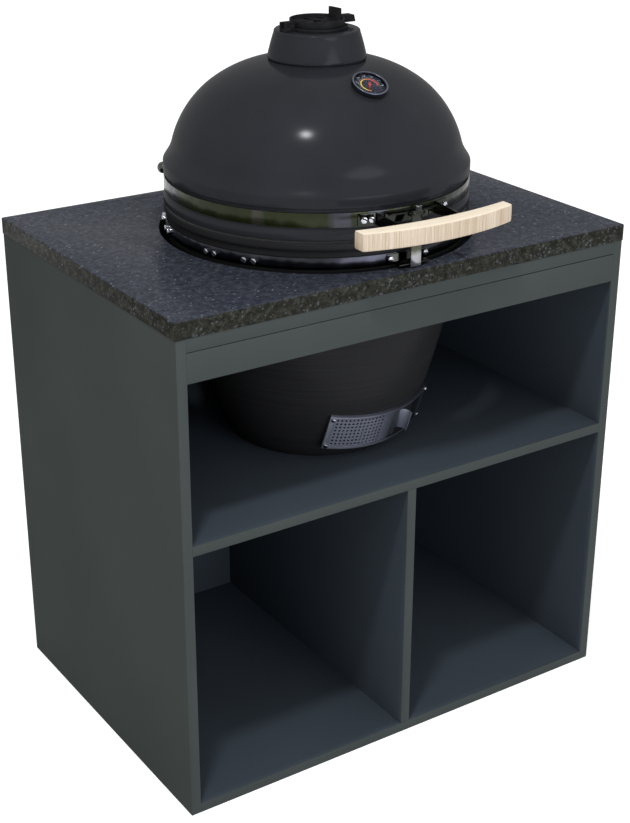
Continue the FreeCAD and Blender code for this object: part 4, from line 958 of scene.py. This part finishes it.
def make_numbers(ink):
    """Numbers round the dial, as plain type laid on it."""
    words = []
    for i in range(NUMBERS):
        c, s = dial_direction(along_scale(i, NUMBERS))
        words.append((str(NUMBER_STEP * i), NUMBER_RADIUS * c, NUMBER_RADIUS * s, NUMBER_SIZE))
    words.append(("C", 0.0, -UNIT_BELOW, UNIT_SIZE))
    for i, (word, x, y, size) in enumerate(words):
        letters = bpy.data.curves.new("dial_number", "FONT")
        letters.body = word
        letters.size = size
        letters.align_x = "CENTER"
        letters.align_y = "CENTER"
        written = bpy.data.objects.new("dial_number_source", letters)
        bpy.context.scene.collection.objects.link(written)
        bpy.context.view_layer.update()
        mesh = bpy.data.meshes.new_from_object(written)
        mesh.transform(Matrix.Translation((x, y, DIAL_TOP + PRINT_LIFT)))
        mesh.transform(Matrix.Rotation(GAUGE_TILT, 4, "X"))
        mesh.transform(Matrix.Translation(GAUGE_SEAT))
        mesh.materials.clear()
        mesh.materials.append(ink)
        bpy.data.objects.remove(written)
        piece = bpy.data.objects.new(f"dial_number_{i}", mesh)
        bpy.context.scene.collection.objects.link(piece)
        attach(piece, "lid")


def make_bezel(material):
    """The rolled rim that holds the glass."""
    section = eased([(GAUGE_RADIUS + out, GAUGE_TOP + up) for out, up in BEZEL_SECTION], BEZEL_EASE)
    bm = turned(section, (0.0, 0.0), BEZEL_STEPS)
    bmesh.ops.transform(bm, matrix=Matrix.Rotation(GAUGE_TILT, 4, "X"), verts=bm.verts)
    bmesh.ops.translate(bm, vec=GAUGE_SEAT, verts=bm.verts)
    object_from(bm, "gauge_bezel", "lid", material)


def make_pin_ends(material):
    """The round dome nuts on both ends of the hinge pin."""
    low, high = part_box("hinge_dome_nuts")
    middle = (low + high) / 2
    radius = (high.z - low.z) / 2 + NUT_FLANGE
    inner = high.x - NUT_LENGTH
    edge_low, edge_high, crest = NUT_EDGE
    profile = [(AXIS_RADIUS, 0.0), (radius * NUT_FACE_SHARE, 0.0), (radius, edge_low), (radius, edge_high),
               (radius * NUT_CREST_SHARE, crest)]
    profile += arc(profile[-1], (AXIS_RADIUS, NUT_LENGTH), NUT_BULGE, steps=12)
    bm = bmesh.new()
    for side in (-1, 1):
        nut = turned(profile, (0.0, 0.0), NUT_STEPS)
        bmesh.ops.transform(nut, matrix=Matrix.Rotation(side * math.pi / 2, 4, "Y"), verts=nut.verts)
        bmesh.ops.translate(nut, vec=(side * inner, middle.y, middle.z), verts=nut.verts)
        made = bpy.data.meshes.new("pin_end_source")
        nut.to_mesh(made)
        nut.free()
        bm.from_mesh(made)
        bpy.data.meshes.remove(made)
    ends = object_from(bm, "pin_ends", "table", material)
    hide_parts("hinge_dome_nuts")


# Stage

def make_stage():
    """A pale floor that runs out of sight, and shows as white to the camera."""
    m, shader = new_material("floor_paint")
    speck = noise(m, place(m), scale=3.0, detail=3.0)
    put(m, shader, "Base Color", ramp(m, speck, [(0.3, (0.86, 0.86, 0.86)), (0.7, (0.90, 0.90, 0.90))]))
    shader.inputs["Roughness"].default_value = 0.9
    path = add(m, "ShaderNodeLightPath")
    mirrored = maths(m, "MAXIMUM", path.outputs["Is Glossy Ray"], path.outputs["Is Transmission Ray"])
    seen = maths(m, "MAXIMUM", path.outputs["Is Camera Ray"], mirrored)
    put(m, shader, "Emission Strength", times(m, seen, FLOOR_GLOW))
    shader.inputs["Emission Color"].default_value = (1, 1, 1, 1)
    bm = bmesh.new()
    bmesh.ops.create_grid(bm, x_segments=8, y_segments=8, size=FLOOR_REACH)
    mesh = bpy.data.meshes.new("floor")
    bm.to_mesh(mesh)
    bm.free()
    mesh.materials.append(m)
    floor = bpy.data.objects.new("floor", mesh)
    bpy.context.scene.collection.objects.link(floor)


def make_world():
    """Even soft light from all round, and a white surround wherever it is seen or mirrored."""
    world = bpy.data.worlds.new("studio")
    bpy.context.scene.world = world
    world.use_nodes = True
    nodes = world.node_tree.nodes
    links = world.node_tree.links
    background = nodes["Background"]
    background.inputs["Color"].default_value = (1, 1, 1, 1)
    path = nodes.new("ShaderNodeLightPath")
    seen = path.outputs["Is Camera Ray"]
    for kind in ("Is Glossy Ray", "Is Transmission Ray"):
        either = nodes.new("ShaderNodeMath")
        either.operation = "MAXIMUM"
        links.new(seen, either.inputs[0])
        links.new(path.outputs[kind], either.inputs[1])
        seen = either.outputs["Value"]
    strength = nodes.new("ShaderNodeMapRange")
    strength.inputs["To Min"].default_value = WORLD_LIGHT
    strength.inputs["To Max"].default_value = 1.0
    links.new(seen, strength.inputs["Value"])
    links.new(strength.outputs["Result"], background.inputs["Strength"])


def lamp(name, at, target, size, power, colour):
    """A round area lamp that looks at target."""
    light = bpy.data.lights.new(name, "AREA")
    light.shape = "DISK"
    light.size = size
    light.energy = power
    light.color = colour
    holder = bpy.data.objects.new(name, light)
    holder.location = at
    holder.rotation_mode = "QUATERNION"
    holder.rotation_quaternion = (Vector(target) - Vector(at)).to_track_quat("-Z", "Y")
    bpy.context.scene.collection.objects.link(holder)


def make_lights():
    """A small bright lamp high at the left front, and a broad cool one low in front."""
    lamp("key", at=(-1.265, -1.234, 3.683), target=(-0.1355, -0.1888, 1.107), size=0.32, power=44,
         colour=(0.96, 0.98, 1.0))
    lamp("front", at=(0.2, -4.4, 1.10), target=(0, 0, 0.3), size=3.0, power=80, colour=(0.88, 0.92, 1.0))


def make_camera():
    """The photograph's camera."""
    camera = bpy.data.cameras.new("camera")
    camera.sensor_width = SENSOR
    camera.lens = PICTURE_HEIGHTS_FOCAL * SENSOR
    camera.clip_start = 0.05
    camera.clip_end = 100.0
    holder = bpy.data.objects.new("camera", camera)
    bpy.context.scene.collection.objects.link(holder)
    holder.location = CAMERA_AT
    level = math.cos(CAMERA_ELEVATION)
    forward = Vector((-math.sin(CAMERA_AZIMUTH) * level, math.cos(CAMERA_AZIMUTH) * level,
                      -math.sin(CAMERA_ELEVATION)))
    holder.rotation_mode = "QUATERNION"
    aim = forward.to_track_quat("-Z", "Y")
    holder.rotation_quaternion = aim @ Matrix.Rotation(CAMERA_ROLL, 3, "Z").to_quaternion()
    bpy.context.scene.camera = holder


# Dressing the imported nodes

def dress_cabinet():
    """Film on the boards and stone on top."""
    boards = ("left_side_panel", "right_side_panel", "bottom_board", "middle_shelf", "centre_divider",
              "back_panel", "top_board", "front_rail")
    cast_all(boards, cabinet_film_and_bay_light(), ease=0.0005)
    cast("stone_worktop", granite(), ease=0.0008)


def dress_bands():
    """The two clamp bands, the lower in the worktop's shade and the upper in the open: painted shade on the
    lower, painted olive and brown reflections on the upper.
    """
    # Painted shade for the lower band and painted reflections for the upper band
    shaded = [(0.36, (0.044, 0.044, 0.057)), (0.50, (0.030, 0.031, 0.037)), (0.64, (0.050, 0.051, 0.062))]
    painted_reflection_stops = [(0.37, (0.038, 0.041, 0.050)), (0.42, (0.012, 0.016, 0.003)), (0.55, (0.016, 0.021, 0.004)),
                (0.60, (0.036, 0.040, 0.028)), (0.66, (0.054, 0.038, 0.027))]
    cast("lower_band", band_steel_painted_reflections("lower_band_steel", shaded, metal=1.0, rough=0.22), ease=0.0005)
    cast("upper_band", band_steel_painted_reflections("upper_band_steel", painted_reflection_stops, metal=0.55, rough=0.26), ease=0.0005)


def dress_fittings():
    """Bolts, brackets and the latch; the latch parts and handle brackets get a painted dark reflection."""
    bright = polished_steel("bright_steel", dark=(0.32, 0.33, 0.36), light=(0.48, 0.49, 0.53), rough=0.06)
    bolts = ("side_shelf_bolts", "lower_clamp_bolt", "upper_clamp_bolt", "latch_catch_bolts",
             "hinge_base_bolts", "hinge_lid_bolts", "hinge_pin", "handle_bracket_bolts", "handle_screws",
             "latch_pin", "vent_bolts", "thermometer_nut")
    cast_all(bolts, bright, ease=0.0004)
    steel = polished_steel("polished_steel", dark=(0.10, 0.10, 0.11), light=(0.20, 0.20, 0.21), rough=0.12)
    cast_all(("hinge_base_bracket", "hinge_lid_bracket"), steel, ease=0.0003)
    # Painted dark reflection: near-black steel for the dark surroundings these parts mirror
    dark_reflection_steel = polished_steel("dark_steel", dark=(0.016, 0.017, 0.015), light=(0.040, 0.042, 0.036), rough=0.12)
    brackets = ("latch_catch", "latch_plate", "left_handle_bracket", "right_handle_bracket")
    cast_all(brackets, dark_reflection_steel, ease=0.0003)
    cast("latch_strap", strap_steel_painted_reflection(), ease=0.0003)


def dress_vent():
    """The vent's frame and its plain door, with painted shade along them."""
    # Painted shade: the frame darkens along X into the shelf's shade
    frame_stops = [(0.0, (0.185, 0.200, 0.250)), (0.35, (0.150, 0.162, 0.205)), (0.6, PAINTED_SHADE_SHEET),
                   (1.0, (0.020, 0.022, 0.027))]
    cast("vent_frame", vent_steel_painted_shade("frame_steel", start=-0.095, end=0.134, stops=frame_stops), ease=0.0003)
    # Painted shade: the door is pale at both ends and deep in the shelf's shade between
    door_stops = [(0.0, PALE_SHEET), (0.35, PAINTED_SHADE_SHEET), (0.80, PAINTED_SHADE_SHEET), (0.86, PALE_SHEET),
                  (1.0, PALE_SHEET)]
    cast("vent_door", vent_steel_painted_shade("door_steel", start=-0.033, end=0.074, stops=door_stops), ease=0.0003)


def dress_iron_and_clay():
    """Castings, the fire clay inside and the gasket."""
    iron = ("chimney_collar", "chimney_cap", "damper_disc", "damper_rivet", "chimney_hinge_pin",
            "cooking_grid", "charcoal_grate", "thermometer_case")
    cast_all(iron, cast_iron(), ease=0.0006)
    cast_all(("fire_box", "fire_ring"), refractory(), ease=0.002)
    cast("rim_gasket", felt(), ease=0.0008)


def dress_thermometer():
    """The dial's plate, its glass and its needle."""
    red = print_ink("needle_red", low=(0.50, 0.02, 0.015), high=(0.62, 0.03, 0.02))
    cast("thermometer_dial", dial_face(), ease=0.0002)
    cast("thermometer_glass", clear_glass(), ease=0.0002)
    cast("thermometer_needle", red, ease=0.0001)


def make_pieces():
    """Finer pieces in place of plain ones, and the print and rim of the thermometer."""
    # Painted shade: the screen darkens towards its right end in the shelf's shade
    screen_stops = [(0.0, PALE_SHEET), (0.65, PALE_SHEET), (0.88, (0.10, 0.108, 0.138)), (1.0, PAINTED_SHADE_SHEET)]
    white = print_ink("dial_white", low=(0.62, 0.64, 0.66), high=(0.75, 0.77, 0.80))
    rim = polished_steel("gauge_rim", dark=(0.060, 0.070, 0.105), light=(0.130, 0.145, 0.200), rough=0.18)
    # Painted dark reflection: the chrome nuts get a near-black greenish tone for what they mirror
    chrome_painted_reflection = polished_steel("pin_chrome", dark=(0.060, 0.063, 0.056), light=(0.105, 0.110, 0.095), rough=0.07)
    make_bowl(matt_glaze())
    make_dome(black_glaze())
    make_screen(vent_steel_painted_shade("screen_steel", start=-0.083, end=0.037, stops=screen_stops))
    make_handle(handle_wood())
    make_dial(scale_ink(), white)
    make_bezel(rim)
    make_pin_ends(chrome_painted_reflection)


def main():
    dress_cabinet()
    dress_bands()
    dress_fittings()
    dress_vent()
    dress_iron_and_clay()
    dress_thermometer()
    make_pieces()
    make_stage()
    make_world()
    make_lights()
    make_camera()
    bpy.context.scene.view_settings.view_transform = "Standard"


main()
